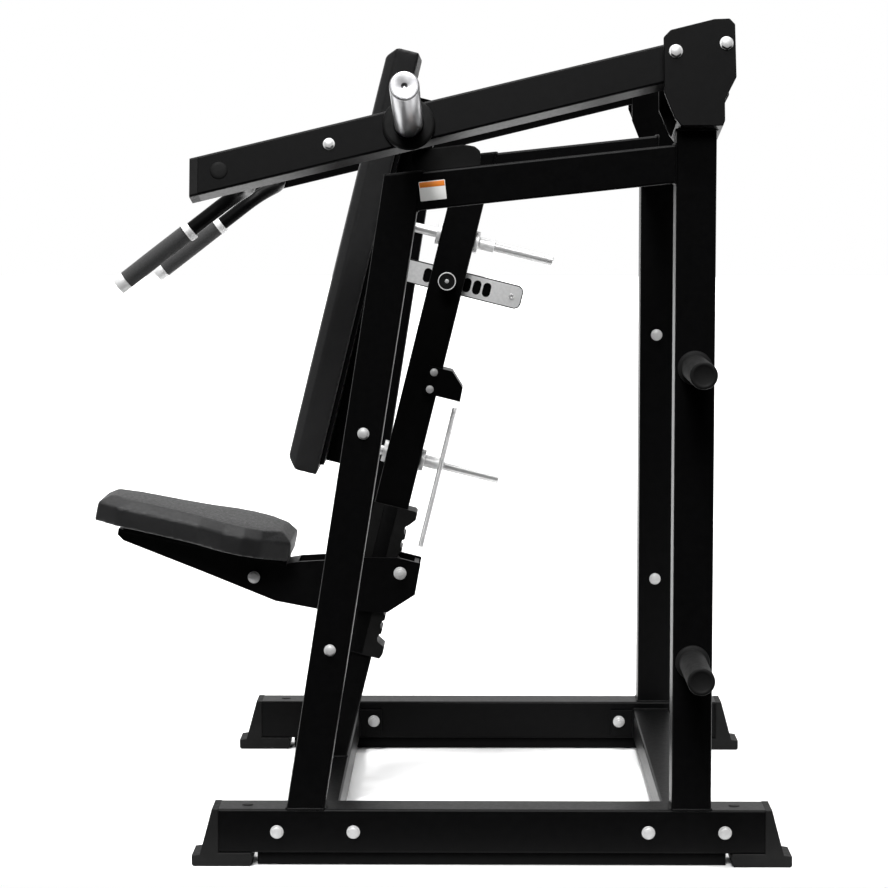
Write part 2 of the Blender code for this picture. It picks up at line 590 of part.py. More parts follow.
def make_back():
    bm = pad_prism(PAD_FRONT, PAD_BACK, PAD_Z0, PAD_Z1, PAD_HALF_W, PAD_SIDE_CHAMFER, PAD_END_CHAMFER)
    add("back_pad", bm, VINYL, BACK_SLIDE)

    bm = block((-0.032, PAD_FRAME_Y0, PAD_FRAME_Z0), (0.032, PAD_FRAME_Y1, PAD_FRAME_Z1))
    round_edges(bm, edges_along(bm, 2), EDGE)
    frame = add("back_pad_frame", bm, BLACK, BACK_SLIDE)
    board = add("pad_board", block((-0.135, PAD_BACK + GAP, PAD_FRAME_Z0), (0.135, PAD_FRAME_Y0 + 0.001, PAD_FRAME_Z1)),
                None, BACK_SLIDE, cutter=True)
    boolean(frame, board, "UNION")

    for name, z in zip(("upper", "lower"), ROD_Z):
        bm = bmesh.new()
        length = ROD_REAR - PAD_FRAME_Y1 - GAP
        bmesh.ops.create_cone(bm, cap_ends=True, segments=20, radius1=ROD_R, radius2=ROD_R, depth=length)
        round_edges(bm, [e for e in bm.edges if abs(e.verts[0].co.z - e.verts[1].co.z) < 1e-6], 0.0015, 1)
        place = Matrix.Translation((0, ROD_REAR - length / 2, z)) @ Matrix.Rotation(math.pi / 2, 4, "X")
        smooth(add(f"{name}_guide_rod", bm, CHROME, BACK_SLIDE, place))

    half = PLATE_H / 2
    outline = [(PAD_FRAME_Y1 + GAP, -half), (PLATE_REAR - 0.010, -half), (PLATE_REAR - 0.003, -half + 0.004),
               (PLATE_REAR, -half + 0.011), (PLATE_REAR, half - 0.011), (PLATE_REAR - 0.003, half - 0.004),
               (PLATE_REAR - 0.010, half), (PAD_FRAME_Y1 + GAP, half)]
    plate = add("adjustment_plate", prism(outline, -PLATE_T / 2, PLATE_T / 2), ALUMINIUM, BACK_SLIDE)
    for index in range(-SLOTS_AHEAD, SLOTS_BEHIND + 1):
        centre, half_w, half_l = index * SLOT_PITCH, 0.0068, 0.0130
        outline = []
        for end, start in ((half_l - half_w, 0), (-(half_l - half_w), 180)):
            for step in range(7):
                angle = math.radians(start + 30 * step)
                outline.append((centre + half_w * math.cos(angle), end + half_w * math.sin(angle)))
        slot = add(f"slot_{index + SLOTS_AHEAD}", prism(outline, -0.02, 0.02), None, BACK_SLIDE, cutter=True)
        boolean(plate, slot)


# ---------------------------------------------------------------- seat
SEAT_PLATE = ((-0.5060, -0.6225), (-0.1700, -0.6097), (-0.1470, -0.6000), (-0.1010, -0.5860), (-0.0214, -0.5605),
              (0.0377, -0.5466), (0.0825, -0.5468), (0.0865, -0.6096), (0.0420, -0.6565), (-0.0926, -0.6826),
              (-0.1752, -0.6870), (-0.3321, -0.6643), (-0.4915, -0.6428), (-0.5055, -0.6340))


def seat_plan():
    """Half widths along the seat from its middle, front to rear: narrow nose, flared hips."""
    return ((-0.222, 0.078), (-0.178, 0.103), (-0.067, 0.115), (-0.017, 0.128),
            (0.033, 0.155), (0.071, 0.159), (0.108, 0.147), (0.163, 0.105))


def make_seat():
    plan = seat_plan()
    bm = bmesh.new()
    ring = [(x, y) for y, x in plan] + [(-x, y) for y, x in reversed(plan)]
    verts = [bm.verts.new((x, y, -SEAT_THICK)) for x, y in ring]
    face = bm.faces.new(verts)
    for height, inset in ((SEAT_THICK - SEAT_CHAMFER_H, 0.0), (SEAT_CHAMFER_H, SEAT_CHAMFER_W)):
        below = face
        grown = bmesh.ops.extrude_face_region(bm, geom=[face])
        moved = [g for g in grown["geom"] if isinstance(g, bmesh.types.BMVert)]
        face = [g for g in grown["geom"] if isinstance(g, bmesh.types.BMFace)][0]
        bmesh.ops.translate(bm, vec=(0, 0, height), verts=moved)
        if inset:
            bmesh.ops.delete(bm, geom=[below], context="FACES_ONLY")
        for vert in moved:
            vert.co.x -= math.copysign(inset, vert.co.x)
            if abs(vert.co.y) > SEAT_END:
                vert.co.y -= math.copysign(inset, vert.co.y)
    tilted = Matrix.Translation(SEAT_TOP) @ Matrix.Rotation(SEAT_TILT, 4, "X")
    add("seat_pad", bm, VINYL, SEAT_SLIDE, tilted)

    carriage = add("seat_carriage", prism(SEAT_PLATE, -SEAT_PLATE_OUT, SEAT_PLATE_OUT), BLACK, SEAT_SLIDE)
    hollow(carriage, block((-SEAT_PLATE_IN, -0.1505, -0.8), (SEAT_PLATE_IN, 0.2, -0.4)), SEAT_SLIDE)
    under = block((-SEAT_PLATE_IN, -0.6, -0.8), (SEAT_PLATE_IN, -0.1505, -0.632))
    tip = add("carriage_underside", under, None, SEAT_SLIDE, cutter=True)
    boolean(carriage, tip)
    web = add("carriage_web", block((-SEAT_PLATE_IN - 0.001, 0.0700, -0.6050), (SEAT_PLATE_IN + 0.001, 0.0790, -0.5500)),
              None, SEAT_SLIDE, cutter=True)
    boolean(carriage, web, "UNION")
    spine = block((-0.030, -0.490, -0.6420), (0.030, -0.160, -0.6150))
    boolean(carriage, add("carriage_spine", spine, None, SEAT_SLIDE, cutter=True), "UNION")
    deck = block((-0.070, -0.165, -SEAT_THICK - DECK_T), (0.070, 0.160, -SEAT_THICK - GAP))
    boolean(carriage, add("carriage_deck", deck, None, SEAT_SLIDE, tilted, cutter=True), "UNION")

    place = Matrix.Translation((0, LATCH_Y, LATCH_Z))
    smooth(add("seat_latch_pin", rod_x(LATCH_R, -SEAT_PLATE_IN + GAP, SEAT_PLATE_IN - GAP, 16), STEEL, SEAT_SLIDE, place))

    bm = bmesh.new()
    length = SPRING_Z1 - SPRING_Z0
    bmesh.ops.create_cone(bm, cap_ends=True, segments=12, radius1=SPRING_R, radius2=SPRING_R, depth=length)
    place = Matrix.Translation((SPRING_X, SPRING_Y, (SPRING_Z0 + SPRING_Z1) / 2))
    smooth(add("seat_spring", bm, STEEL, COLUMN_AXIS, place))


make_base()
make_uprights()
make_pivots()
make_arms()
make_handles()
make_bumpers_and_storage()
pierce_column()
make_column_fittings()
make_selector()
make_back()
make_seat()
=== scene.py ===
"""Looks of a plate-loaded shoulder press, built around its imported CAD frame.

Metres, +Z up. +Y is the rear of the machine, and +X is the side with the selector knob.
"""
import json
import math

import bmesh
import bpy
import numpy as np
from mathutils import Matrix, Vector
from mathutils.geometry import interpolate_bezier

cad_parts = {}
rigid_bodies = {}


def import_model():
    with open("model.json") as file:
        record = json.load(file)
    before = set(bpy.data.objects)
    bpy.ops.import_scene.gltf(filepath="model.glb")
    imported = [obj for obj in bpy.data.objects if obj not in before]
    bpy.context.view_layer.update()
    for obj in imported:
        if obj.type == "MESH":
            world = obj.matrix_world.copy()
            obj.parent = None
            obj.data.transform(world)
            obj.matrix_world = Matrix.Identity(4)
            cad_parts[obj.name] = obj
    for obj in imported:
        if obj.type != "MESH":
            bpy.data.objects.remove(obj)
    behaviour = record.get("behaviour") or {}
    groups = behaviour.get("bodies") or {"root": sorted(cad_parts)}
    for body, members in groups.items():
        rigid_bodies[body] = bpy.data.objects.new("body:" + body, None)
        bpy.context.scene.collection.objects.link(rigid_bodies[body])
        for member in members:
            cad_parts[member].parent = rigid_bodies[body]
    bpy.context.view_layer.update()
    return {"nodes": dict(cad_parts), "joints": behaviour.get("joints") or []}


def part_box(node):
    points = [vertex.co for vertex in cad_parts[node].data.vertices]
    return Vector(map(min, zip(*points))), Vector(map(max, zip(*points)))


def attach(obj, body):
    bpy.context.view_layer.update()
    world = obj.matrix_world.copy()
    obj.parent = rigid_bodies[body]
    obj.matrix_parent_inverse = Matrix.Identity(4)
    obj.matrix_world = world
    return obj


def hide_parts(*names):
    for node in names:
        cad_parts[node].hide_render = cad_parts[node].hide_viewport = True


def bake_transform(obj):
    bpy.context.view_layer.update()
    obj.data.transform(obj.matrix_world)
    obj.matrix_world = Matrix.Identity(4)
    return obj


for old in list(bpy.data.objects):
    bpy.data.objects.remove(old, do_unlink=True)

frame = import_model()

SIDES = {"L": -1, "R": 1}
ARM_BODY = {"L": "left_arm", "R": "right_arm"}


# ---------------------------------------------------------------- places, from the frame
def box_middle(node):
    low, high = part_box(node)
    return (low + high) / 2


def joint(name):
    return next(j for j in frame["joints"] if j["name"] == name)


def basis(x, y, z, origin):
    """A matrix from three axes and an origin."""
    rotation = Matrix((x, y, z)).transposed().to_4x4()
    return Matrix.Translation(origin) @ rotation


COLUMN_UP = Vector(joint("seat_height")["axis"]).normalized()
COLUMN_REAR = -Vector(joint("back_pad_slide")["axis"]).normalized()
COLUMN_ORIGIN = box_middle("selector_knob")
COLUMN_ORIGIN.x = 0.0
COLUMN = basis(Vector((1, 0, 0)), COLUMN_REAR, COLUMN_UP, COLUMN_ORIGIN)
COLUMN_LEAN = math.asin(COLUMN_UP.y)


def pivot_matrix(tag):
    """Origin on an arm's pivot axis, local X along it towards +X, local Y to the rear."""
    hinge = joint(f"{ARM_BODY[tag].split('_')[0]}_arm_press")
    x = -Vector(hinge["axis"]).normalized()
    y = Vector((0, 1, 0))
    return basis(x, y, x.cross(y), Vector(hinge["pos_m"]))


PIVOTS = {tag: pivot_matrix(tag) for tag in SIDES}
ARM_PITCH = math.radians(13.7)


def width_of(node):
    low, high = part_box(node)
    return high.x - low.x


HALF = width_of("center_column") / 2
REAR_HALF = width_of("rear_upright_R") / 2
RAIL_HALF = width_of("base_rail_R") / 2
OUTER_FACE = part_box("rear_upright_R")[1].x
FRONT_INNER = OUTER_FACE - 2 * HALF
REAR_INNER = OUTER_FACE - 2 * REAR_HALF
BEAM_SLOPE = math.radians(6.1)
FRONT_LEAN = math.radians(8.90)
ARM_TAIL = 0.045
BRACKET_FOOT = 0.134
SEAT_PLATE_X = 0.0510
CHEEK_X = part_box("spring_hanger")[1].x


# ---------------------------------------------------------------- materials
class Look:
    """A Principled material under construction, in each object's own coordinates."""

    def __init__(self, name, colour, roughness, metallic=0.0, **sockets):
        self.material = bpy.data.materials.new(name)
        self.material.use_nodes = True
        self.tree = self.material.node_tree
        self.shader = self.tree.nodes["Principled BSDF"]
        self.shader.inputs["Base Color"].default_value = (*colour, 1.0)
        self.shader.inputs["Roughness"].default_value = roughness
        self.shader.inputs["Metallic"].default_value = metallic
        for socket, value in sockets.items():
            self.shader.inputs[socket.replace("_", " ")].default_value = value
        self.coordinates = self.tree.nodes.new("ShaderNodeTexCoord").outputs["Object"]
        self.normal = None

    def node(self, kind, **inputs):
        node = self.tree.nodes.new(kind)
        for socket, value in inputs.items():
            self.plug(value, node.inputs[socket.replace("_", " ")])
        return node

    def plug(self, value, socket):
        if isinstance(value, bpy.types.NodeSocket):
            self.tree.links.new(value, socket)
        else:
            socket.default_value = value

    def scaled(self, stretch):
        mapping = self.node("ShaderNodeMapping", Vector=self.coordinates)
        mapping.inputs["Scale"].default_value = stretch
        return mapping.outputs["Vector"]

    def noise(self, scale, detail=2.0, stretch=None):
        vector = self.scaled(stretch) if stretch else self.coordinates
        return self.node("ShaderNodeTexNoise", Vector=vector, Scale=scale, Detail=detail).outputs["Fac"]

    def cells(self, scale, feature="DISTANCE_TO_EDGE"):
        node = self.tree.nodes.new("ShaderNodeTexVoronoi")
        node.feature = feature
        self.plug(self.coordinates, node.inputs["Vector"])
        node.inputs["Scale"].default_value = scale
        return node.outputs["Distance"]

    def spread(self, value, low, high, start=0.3, end=0.7):
        node = self.node("ShaderNodeMapRange", Value=value)
        node.inputs["From Min"].default_value = start
        node.inputs["From Max"].default_value = end
        node.inputs["To Min"].default_value = low
        node.inputs["To Max"].default_value = high
        return node.outputs["Result"]

    def vary_roughness(self, value, low, high):
        self.plug(self.spread(value, low, high), self.shader.inputs["Roughness"])

    def vary_colour(self, value, first, second, start=0.3, end=0.7):
        mix = self.tree.nodes.new("ShaderNodeMix")
        mix.data_type = "RGBA"
        self.plug(self.spread(value, 0.0, 1.0, start, end), mix.inputs["Factor"])
        for socket, colour in (("A", first), ("B", second)):
            colours = [s for s in mix.inputs if s.name == socket and s.type == "RGBA"]
            colours[0].default_value = (*colour, 1.0)
        result = [s for s in mix.outputs if s.type == "RGBA"][0]
        self.plug(result, self.shader.inputs["Base Color"])

    def soften_edges(self, radius):
        node = self.tree.nodes.new("ShaderNodeBevel")
        node.samples = 4
        node.inputs["Radius"].default_value = radius
        self.normal = node.outputs["Normal"]
        self.plug(self.normal, self.shader.inputs["Normal"])

    def relief(self, height, strength, depth):
        node = self.node("ShaderNodeBump", Height=height, Strength=strength, Distance=depth)
        if self.normal:
            self.plug(self.normal, node.inputs["Normal"])
        self.normal = node.outputs["Normal"]
        self.plug(self.normal, self.shader.inputs["Normal"])


def powder_coat():
    look = Look("black_powder_coat", (0.0017, 0.0017, 0.0018), 0.35, Specular_IOR_Level=0.06)
    look.soften_edges(0.0012)
    look.vary_colour(look.noise(60.0, 3.0), (0.0016, 0.0016, 0.0017), (0.0022, 0.0022, 0.0023))
    look.vary_roughness(look.noise(140.0, 3.0), 0.33, 0.39)
    look.relief(look.noise(900.0, 2.0), 0.25, 0.0002)
    return look.material


def vinyl():
    look = Look("pad_vinyl", (0.0075, 0.0075, 0.0078), 0.5, Specular_IOR_Level=0.22)
    look.vary_colour(look.noise(22.0, 4.0), (0.0064, 0.0064, 0.0067), (0.0085, 0.0085, 0.0088))
    look.vary_roughness(look.noise(160.0, 3.0), 0.42, 0.58)
    look.relief(look.cells(620.0), 0.30, 0.0006)
    look.relief(look.noise(1700.0, 2.0), 0.12, 0.0003)
    return look.material


def moulded_rubber(name, shade, roughness, grain):
    look = Look(name, (shade, shade, shade * 1.04), roughness, Specular_IOR_Level=0.09)
    look.soften_edges(0.0012)
    look.vary_colour(look.noise(30.0, 4.0), (shade * 0.85,) * 3, (shade * 1.2,) * 3)
    look.vary_roughness(look.noise(90.0, 3.0), roughness - 0.07, roughness + 0.08)
    look.relief(look.noise(grain, 3.0), 0.35, 0.0003)
    return look.material


def grip_rubber():
    look = Look("grip_rubber", (0.014, 0.014, 0.0142), 0.75, Sheen_Weight=0.15)
    look.vary_colour(look.noise(800.0, 3.0), (0.009, 0.009, 0.0092), (0.024, 0.024, 0.0245))
    look.vary_roughness(look.noise(300.0, 3.0), 0.68, 0.85)
    look.relief(look.cells(900.0), 0.5, 0.0006)
    return look.material


def brushed_steel():
    look = Look("brushed_steel", (0.44, 0.44, 0.45), 0.34, 1.0)
    around = look.noise(40.0, 3.0, (1.0, 1.0, 60.0))
    look.vary_colour(around, (0.38, 0.38, 0.39), (0.50, 0.50, 0.51))
    look.vary_roughness(around, 0.26, 0.42)
    look.relief(around, 0.12, 0.0002)
    return look.material


def bright_metal(name, shade, roughness, metallic, grain, depth):
    look = Look(name, (shade, shade, shade * 1.01), roughness, metallic)
    look.vary_colour(look.noise(grain / 8, 3.0), (shade * 0.93,) * 3, (min(shade * 1.05, 1.0),) * 3)
    look.vary_roughness(look.noise(grain / 3, 3.0), roughness * 0.8, roughness * 1.2)
    look.relief(look.noise(grain, 2.0), 0.1, depth)
    return look.material


def printed(name, colour, roughness=0.45):
    look = Look(name, colour, roughness)
    low = tuple(c * 0.95 for c in colour)
    look.vary_colour(look.noise(60.0, 3.0), low, colour)
    look.relief(look.noise(1500.0, 1.0), 0.05, 0.0001)
    return look.material


MATERIALS = {
    "black_powder_coat": powder_coat(),
    "pad_vinyl": vinyl(),
    "black_rubber": moulded_rubber("black_rubber", 0.0065, 0.60, 700.0),
    "black_plastic": moulded_rubber("black_plastic", 0.0055, 0.48, 1100.0),
    "grip_rubber": grip_rubber(),
    "brushed_steel": brushed_steel(),
    "chrome": bright_metal("chrome", 0.74, 0.22, 0.55, 900.0, 0.00005),
    "aluminium": bright_metal("aluminium", 0.78, 0.38, 0.35, 1400.0, 0.0001),
    "zinc": bright_metal("zinc", 0.50, 0.42, 0.30, 1200.0, 0.0001),
    "label_white": printed("label_white", (0.80, 0.80, 0.78)),
    "label_orange": printed("label_orange", (0.80, 0.22, 0.015)),
}


# ---------------------------------------------------------------- mesh helpers
def to_mesh(bm, name, sharp=35.0):
    bmesh.ops.recalc_face_normals(bm, faces=bm.faces)
    mesh = bpy.data.meshes.new(name)
    bm.to_mesh(mesh)
    bm.free()
    mesh.shade_smooth()
    mesh.set_sharp_from_angle(angle=math.radians(sharp))
    return mesh


def piece(name, mesh, look, body, matrix=None, replaces=()):
    """A new visible piece that rides on a CAD body."""
    obj = bpy.data.objects.new(name, mesh)
    bpy.context.scene.collection.objects.link(obj)
    obj.matrix_world = matrix or Matrix()
    mesh.materials.append(MATERIALS[look])
    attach(obj, body)
    if replaces:
        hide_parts(*replaces)
    return obj


def joined(name, mesh, matrices, look, body, origin=None):
    """One piece made of several separate copies of a mesh."""
    bm = bmesh.new()
    back = origin.inverted() if origin else Matrix()
    for matrix in matrices:
        copy = mesh.copy()
        copy.transform(back @ matrix)
        bm.from_mesh(copy)
        bpy.data.meshes.remove(copy)
    out = bpy.data.meshes.new(name)
    bm.to_mesh(out)
    bm.free()
    out.shade_smooth()
    out.set_sharp_from_angle(angle=math.radians(35))
    return piece(name, out, look, body, origin)


def lathe(name, profile, segments=64, sharp=35.0):
    """A turned shape about local Z, from (radius, height) points listed top to bottom."""
    bm = bmesh.new()
    turn = 2 * math.pi / segments
    rings = []
    for radius, height in profile:
        count = segments if radius > 1e-6 else 1
        rings.append([bm.verts.new((radius * math.cos(i * turn), radius * math.sin(i * turn), height))
                      for i in range(count)])
    for upper, lower in zip(rings, rings[1:]):
        for i in range(segments):
            ring = [upper[i % len(upper)], lower[i % len(lower)],
                    lower[(i + 1) % len(lower)], upper[(i + 1) % len(upper)]]
            corners = list(dict.fromkeys(ring))
            if len(corners) > 2:
                bm.faces.new(corners)
    return to_mesh(bm, name, sharp)


def rounded_profile(radius, top, bottom, edge):
    """Half section of a round bar with rounded rims, top to bottom."""
    quarter = [math.radians(a) for a in (90, 60, 30, 0)]
    upper = [(radius - edge + edge * math.cos(a), top - edge + edge * math.sin(a)) for a in quarter]
    lower = [(radius - edge + edge * math.cos(a), bottom + edge - edge * math.sin(a)) for a in reversed(quarter)]
    return [(0, top)] + upper + lower + [(0, bottom)]


def hex_head(name, across, height, stub=0.0, stub_radius=0.0):
    """A hexagon with a chamfered top, so each side ends in an arc, and the screw's end above it on a nut."""
    bm = bmesh.new()
    steps = 48
    rim = across / 2 * 0.94
    rows = [[], [], []]
    for i in range(steps):
        angle = 2 * math.pi * i / steps
        corner = (angle + math.pi / 6) % (math.pi / 3) - math.pi / 6
        reach = across / 2 / math.cos(corner)
        drop = (reach - rim) * math.tan(math.radians(30))
        spots = ((reach, 0.0), (reach, height - drop), (rim, height))
        for row, (radius, z) in zip(rows, spots):
            row.append(bm.verts.new((radius * math.cos(angle), radius * math.sin(angle), z)))
    for lower, upper in zip(rows, rows[1:]):
        for i in range(steps):
            j = (i + 1) % steps
            bm.faces.new((lower[i], lower[j], upper[j], upper[i]))
    bm.faces.new(rows[2])
    bm.faces.new(list(reversed(rows[0])))
    if stub:
        end = lathe("stub", rounded_profile(stub_radius, height + stub, height - 0.001, 0.0008), 32)
        bm.from_mesh(end)
        bpy.data.meshes.remove(end)
    return to_mesh(bm, name, 25)


def with_washer(name, head, washer_radius, thickness):
    """A washer with a head or nut standing on it."""
    bm = bmesh.new()
    washer = lathe("washer", rounded_profile(washer_radius, thickness, 0.0, 0.0006), 48)
    bm.from_mesh(washer)
    head.transform(Matrix.Translation((0, 0, thickness)))
    bm.from_mesh(head)
    for mesh in (washer, head):
        bpy.data.meshes.remove(mesh)
    return to_mesh(bm, name, 25)


def facing(direction, at):
    """Local Z along a direction, from a point."""
    return Matrix.Translation(at) @ Vector(direction).to_track_quat("Z", "Y").to_matrix().to_4x4()


def rounded_plate(name, outline, thickness, edge=0.0008):
    """A flat plate from an outline in XY, its rims eased, thickness along Z from 0."""
    bm = bmesh.new()
    verts = [bm.verts.new((x, y, 0)) for x, y in outline]
    face = bm.faces.new(verts)
    raised = bmesh.ops.extrude_face_region(bm, geom=[face])
    top = [g for g in raised["geom"] if isinstance(g, bmesh.types.BMVert)]
    bmesh.ops.translate(bm, vec=(0, 0, thickness), verts=top)
    rim = [e for e in bm.edges if all(v in top for v in e.verts)]
    bmesh.ops.bevel(bm, geom=rim, offset=edge, segments=2, profile=0.5, affect="EDGES")
    return to_mesh(bm, name, 40)


def rounded_rectangle(width, height, radius, steps=5):
    points = []
    for quarter in range(4):
        sx = 1 if quarter in (0, 3) else -1
        sy = 1 if quarter in (0, 1) else -1
        centre = (sx * (width / 2 - radius), sy * (height / 2 - radius))
        for step in range(steps + 1):
            angle = math.pi / 2 * (quarter + step / steps)
            points.append((centre[0] + radius * math.cos(angle), centre[1] + radius * math.sin(angle)))
    return points


def tube_along(name, points, radii, sides=10, closed=False, sharp=50.0):
    """A round tube through points, with its own radius at each."""
    bm = bmesh.new()
    count = len(points)
    rings = []
    normal = None
    for i, point in enumerate(points):
        before = points[i - 1] if closed or i else points[0]
        after = points[(i + 1) % count] if closed or i < count - 1 else points[-1]
        tangent = (after - before).normalized()
        if normal is None:
            normal = tangent.orthogonal().normalized()
        normal = (normal - tangent * normal.dot(tangent)).normalized()
        side = tangent.cross(normal)
        rings.append([bm.verts.new(point + radii[i] * (normal * math.cos(2 * math.pi * k / sides)
                                                      + side * math.sin(2 * math.pi * k / sides)))
                      for k in range(sides)])
    pairs = list(zip(rings, rings[1:])) + ([(rings[-1], rings[0])] if closed else [])
    for a, b in pairs:
        shift = 0
        if b is rings[0]:       # the last ring meets the first where their seams line up best
            shift = min(range(sides), key=lambda s: (a[0].co - b[s].co).length)
        for k in range(sides):
            bm.faces.new((a[k], a[(k + 1) % sides], b[(k + 1 + shift) % sides], b[(k + shift) % sides]))
    if not closed:
        bm.faces.new(rings[0])
        bm.faces.new(list(reversed(rings[-1])))
    return to_mesh(bm, name, sharp)


# ---------------------------------------------------------------- fasteners
X_AXIS, Y_AXIS, Z_AXIS = Vector((1, 0, 0)), Vector((0, 1, 0)), Vector((0, 0, 1))
BIG_BOLT = with_washer("big_bolt", hex_head("head", 0.0175, 0.0062), 0.0120, 0.0018)
BIG_NUT = with_washer("big_nut", hex_head("nut", 0.0175, 0.0080, 0.003, 0.0050), 0.0125, 0.0018)
SMALL_BOLT = with_washer("small_bolt", hex_head("head", 0.0145, 0.0050), 0.0105, 0.0015)
SMALL_NUT = with_washer("small_nut", hex_head("nut", 0.0145, 0.0065, 0.003, 0.0040), 0.0105, 0.0015)
CAP_SCREW = with_washer("cap_screw", hex_head("head", 0.0100, 0.0038), 0.0075, 0.0012)
DATUM = Vector((0, joint("right_arm_press")["pos_m"][1] - 0.442, 0))
RAIL_BOLT_LIFT = 0.038
RAIL_BOLT_REACH = 0.0683        # from the middle of a crossmember
UPRIGHT_BOLT_HEIGHTS = (0.3904, 0.7765)
BRACKET_FACE = 0.078
BRACKET_BOLTS = ((-0.0416, -0.003), (0.0464, 0.011))
ARM_BOLT_AT, ARM_PLUG_AT, HORN_AT = 0.6646, 0.8625, 0.521
CARRIAGE_BOLT, DECK_BOLT, LATCH = (-0.2271, -0.6514), (-0.4397, -0.6240), (0.0480, -0.5752)
HANGER_SCREWS = ((0.0182, -0.1786), (0.0182, -0.2127))


def column_point(x, rear, up):
    return COLUMN @ Vector((x, rear, up))


def along_axis(origin, point, direction):
    """Local Z along a direction, from a point, both given in another frame."""
    return origin @ facing(direction, Vector(point))


def arm_frame(tag):
    """Origin on the pivot, local -Y along the arm to its front end, local X out through the horn or in."""
    return PIVOTS[tag] @ Matrix.Rotation(ARM_PITCH, 4, "X")


def upright_centre(tag, height):
    """Middle of the leaning front upright at a height."""
    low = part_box(f"front_upright_{tag}")[0]
    return low.y + HALF / math.cos(FRONT_LEAN) + (height - low.z) * math.tan(FRONT_LEAN)


def make_fasteners():
    for tag, side in SIDES.items():
        out = X_AXIS * side
        rail_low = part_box(f"base_rail_{tag}")[0]
        flange = abs(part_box("front_crossmember")[0].x) - 0.008
        heads, nuts = [], []
        for cross in ("front_crossmember", "rear_crossmember"):
            middle = box_middle(cross).y
            for reach in (-RAIL_BOLT_REACH, RAIL_BOLT_REACH):
                y, z = middle + reach, rail_low.z + RAIL_BOLT_LIFT
                heads.append(facing(out, (side * OUTER_FACE, y, z)))
                nuts.append(facing(-out, (side * flange, y, z)))
        joined(f"rail_bolts_{tag}", BIG_BOLT, heads, "zinc", "frame")
        joined(f"rail_nuts_{tag}", BIG_NUT, nuts, "zinc", "frame")

        spots = [(upright_centre(tag, z), z) for z in UPRIGHT_BOLT_HEIGHTS]
        joined(f"upright_bolts_{tag}", SMALL_BOLT,
               [facing(out, (side * OUTER_FACE, y, z)) for y, z in spots], "zinc", "frame")
        joined(f"upright_nuts_{tag}", SMALL_NUT,
               [facing(-out, (side * FRONT_INNER, y, z)) for y, z in spots], "zinc", "frame")
        horns = [box_middle(f"{level}_storage_horn_{tag}") for level in ("upper", "lower")]
        joined(f"storage_horn_bolts_{tag}", BIG_BOLT,
               [facing(-out, (side * REAR_INNER, p.y, p.z)) for p in horns], "zinc", "frame")

        pivot = PIVOTS[tag]
        joined(f"bearing_bolts_{tag}", BIG_BOLT,
               [along_axis(pivot, (sign * BRACKET_FACE, y, z), (sign, 0, 0))
                for sign in (-1, 1) for y, z in BRACKET_BOLTS], "zinc", "frame")
        post = Vector((side * 0.452, box_middle("rear_top_crossmember").y - 0.010,
                       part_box("rear_top_crossmember")[1].z))
        joined(f"crossmember_nuts_{tag}", SMALL_NUT,
               [facing(Z_AXIS, post + Vector((0, shift, 0))) for shift in (-0.012, 0.022)], "zinc", "frame")

        arm = arm_frame(tag)
        joined(f"arm_bolt_{tag}", SMALL_BOLT, [along_axis(arm, (side * HALF, -ARM_BOLT_AT, 0), (side, 0, 0))],
               "zinc", ARM_BODY[tag])
        plug = lathe("arm_plug", [(0, 0.0022), (0.0090, 0.0020), (0.0135, 0.0014), (0.0150, 0.0006),
                                  (0.0155, 0.0)] + [(0, 0)], 48)
        piece(f"arm_plug_{tag}", plug, "black_rubber", ARM_BODY[tag],
              along_axis(arm, (side * HALF, -ARM_PLUG_AT, 0), (side, 0, 0)))

        plate = SEAT_PLATE_X * side
        joined(f"carriage_bolt_{tag}", BIG_BOLT, [along_axis(COLUMN, (plate, *CARRIAGE_BOLT), out)],
               "zinc", "seat_slide_body")
        joined(f"latch_pin_head_{tag}", BIG_NUT, [along_axis(COLUMN, (plate, *LATCH), out)],
               "zinc", "seat_slide_body")
        joined(f"hanger_screws_{tag}", CAP_SCREW,
               [along_axis(COLUMN, (CHEEK_X * side, *spot), out) for spot in HANGER_SCREWS], "zinc", "frame")


# ---------------------------------------------------------------- welds, caps and plugs
# The dark bars under the rails are painted shadow: they fill the gap between rail and floor with the dark of its
# shade.
SHADOW_BAR_INSET, SHADOW_BAR_GAP, SHADOW_BAR_CLEAR = 0.014, 0.008, 0.0006
WELD_RADIUS = 0.0024
WELD_STEP = 0.0019
WELD_GROUND = 0.0027


def loop_points(centre, u, v, half_u, half_v, corner=0.004):
    """Evenly spaced points round a rectangle with round corners."""
    outline = [centre + u * a + v * b for a, b in rounded_rectangle(2 * half_u, 2 * half_v, corner, 4)]
    points = []
    for start, end in zip(outline, outline[1:] + outline[:1]):
        count = max(1, round((end - start).length / WELD_STEP))
        points += [start.lerp(end, i / count) for i in range(count)]
    return points


def weld(name, body, *loops):
    """Rippled beads round one or more closed loops, as one piece."""
    bm = bmesh.new()
    for points in loops:
        radii = [WELD_RADIUS * (1 + 0.16 * math.sin(i * 2.1) + 0.08 * math.sin(i * 0.37)) for i in range(len(points))]
        bead = tube_along(name, points, radii, 8, closed=True)
        bm.from_mesh(bead)
        bpy.data.meshes.remove(bead)
    return piece(name, to_mesh(bm, name), "black_powder_coat", body)


def ring_points(matrix, radius):
    steps = round(2 * math.pi * radius / WELD_STEP)
    turn = 2 * math.pi / steps
    return [matrix @ Vector((radius * math.cos(i * turn), radius * math.sin(i * turn), 0)) for i in range(steps)]


def leaning(angle):
    """Unit vector up a member that leans to the rear."""
    return Vector((0, math.sin(angle), math.cos(angle)))


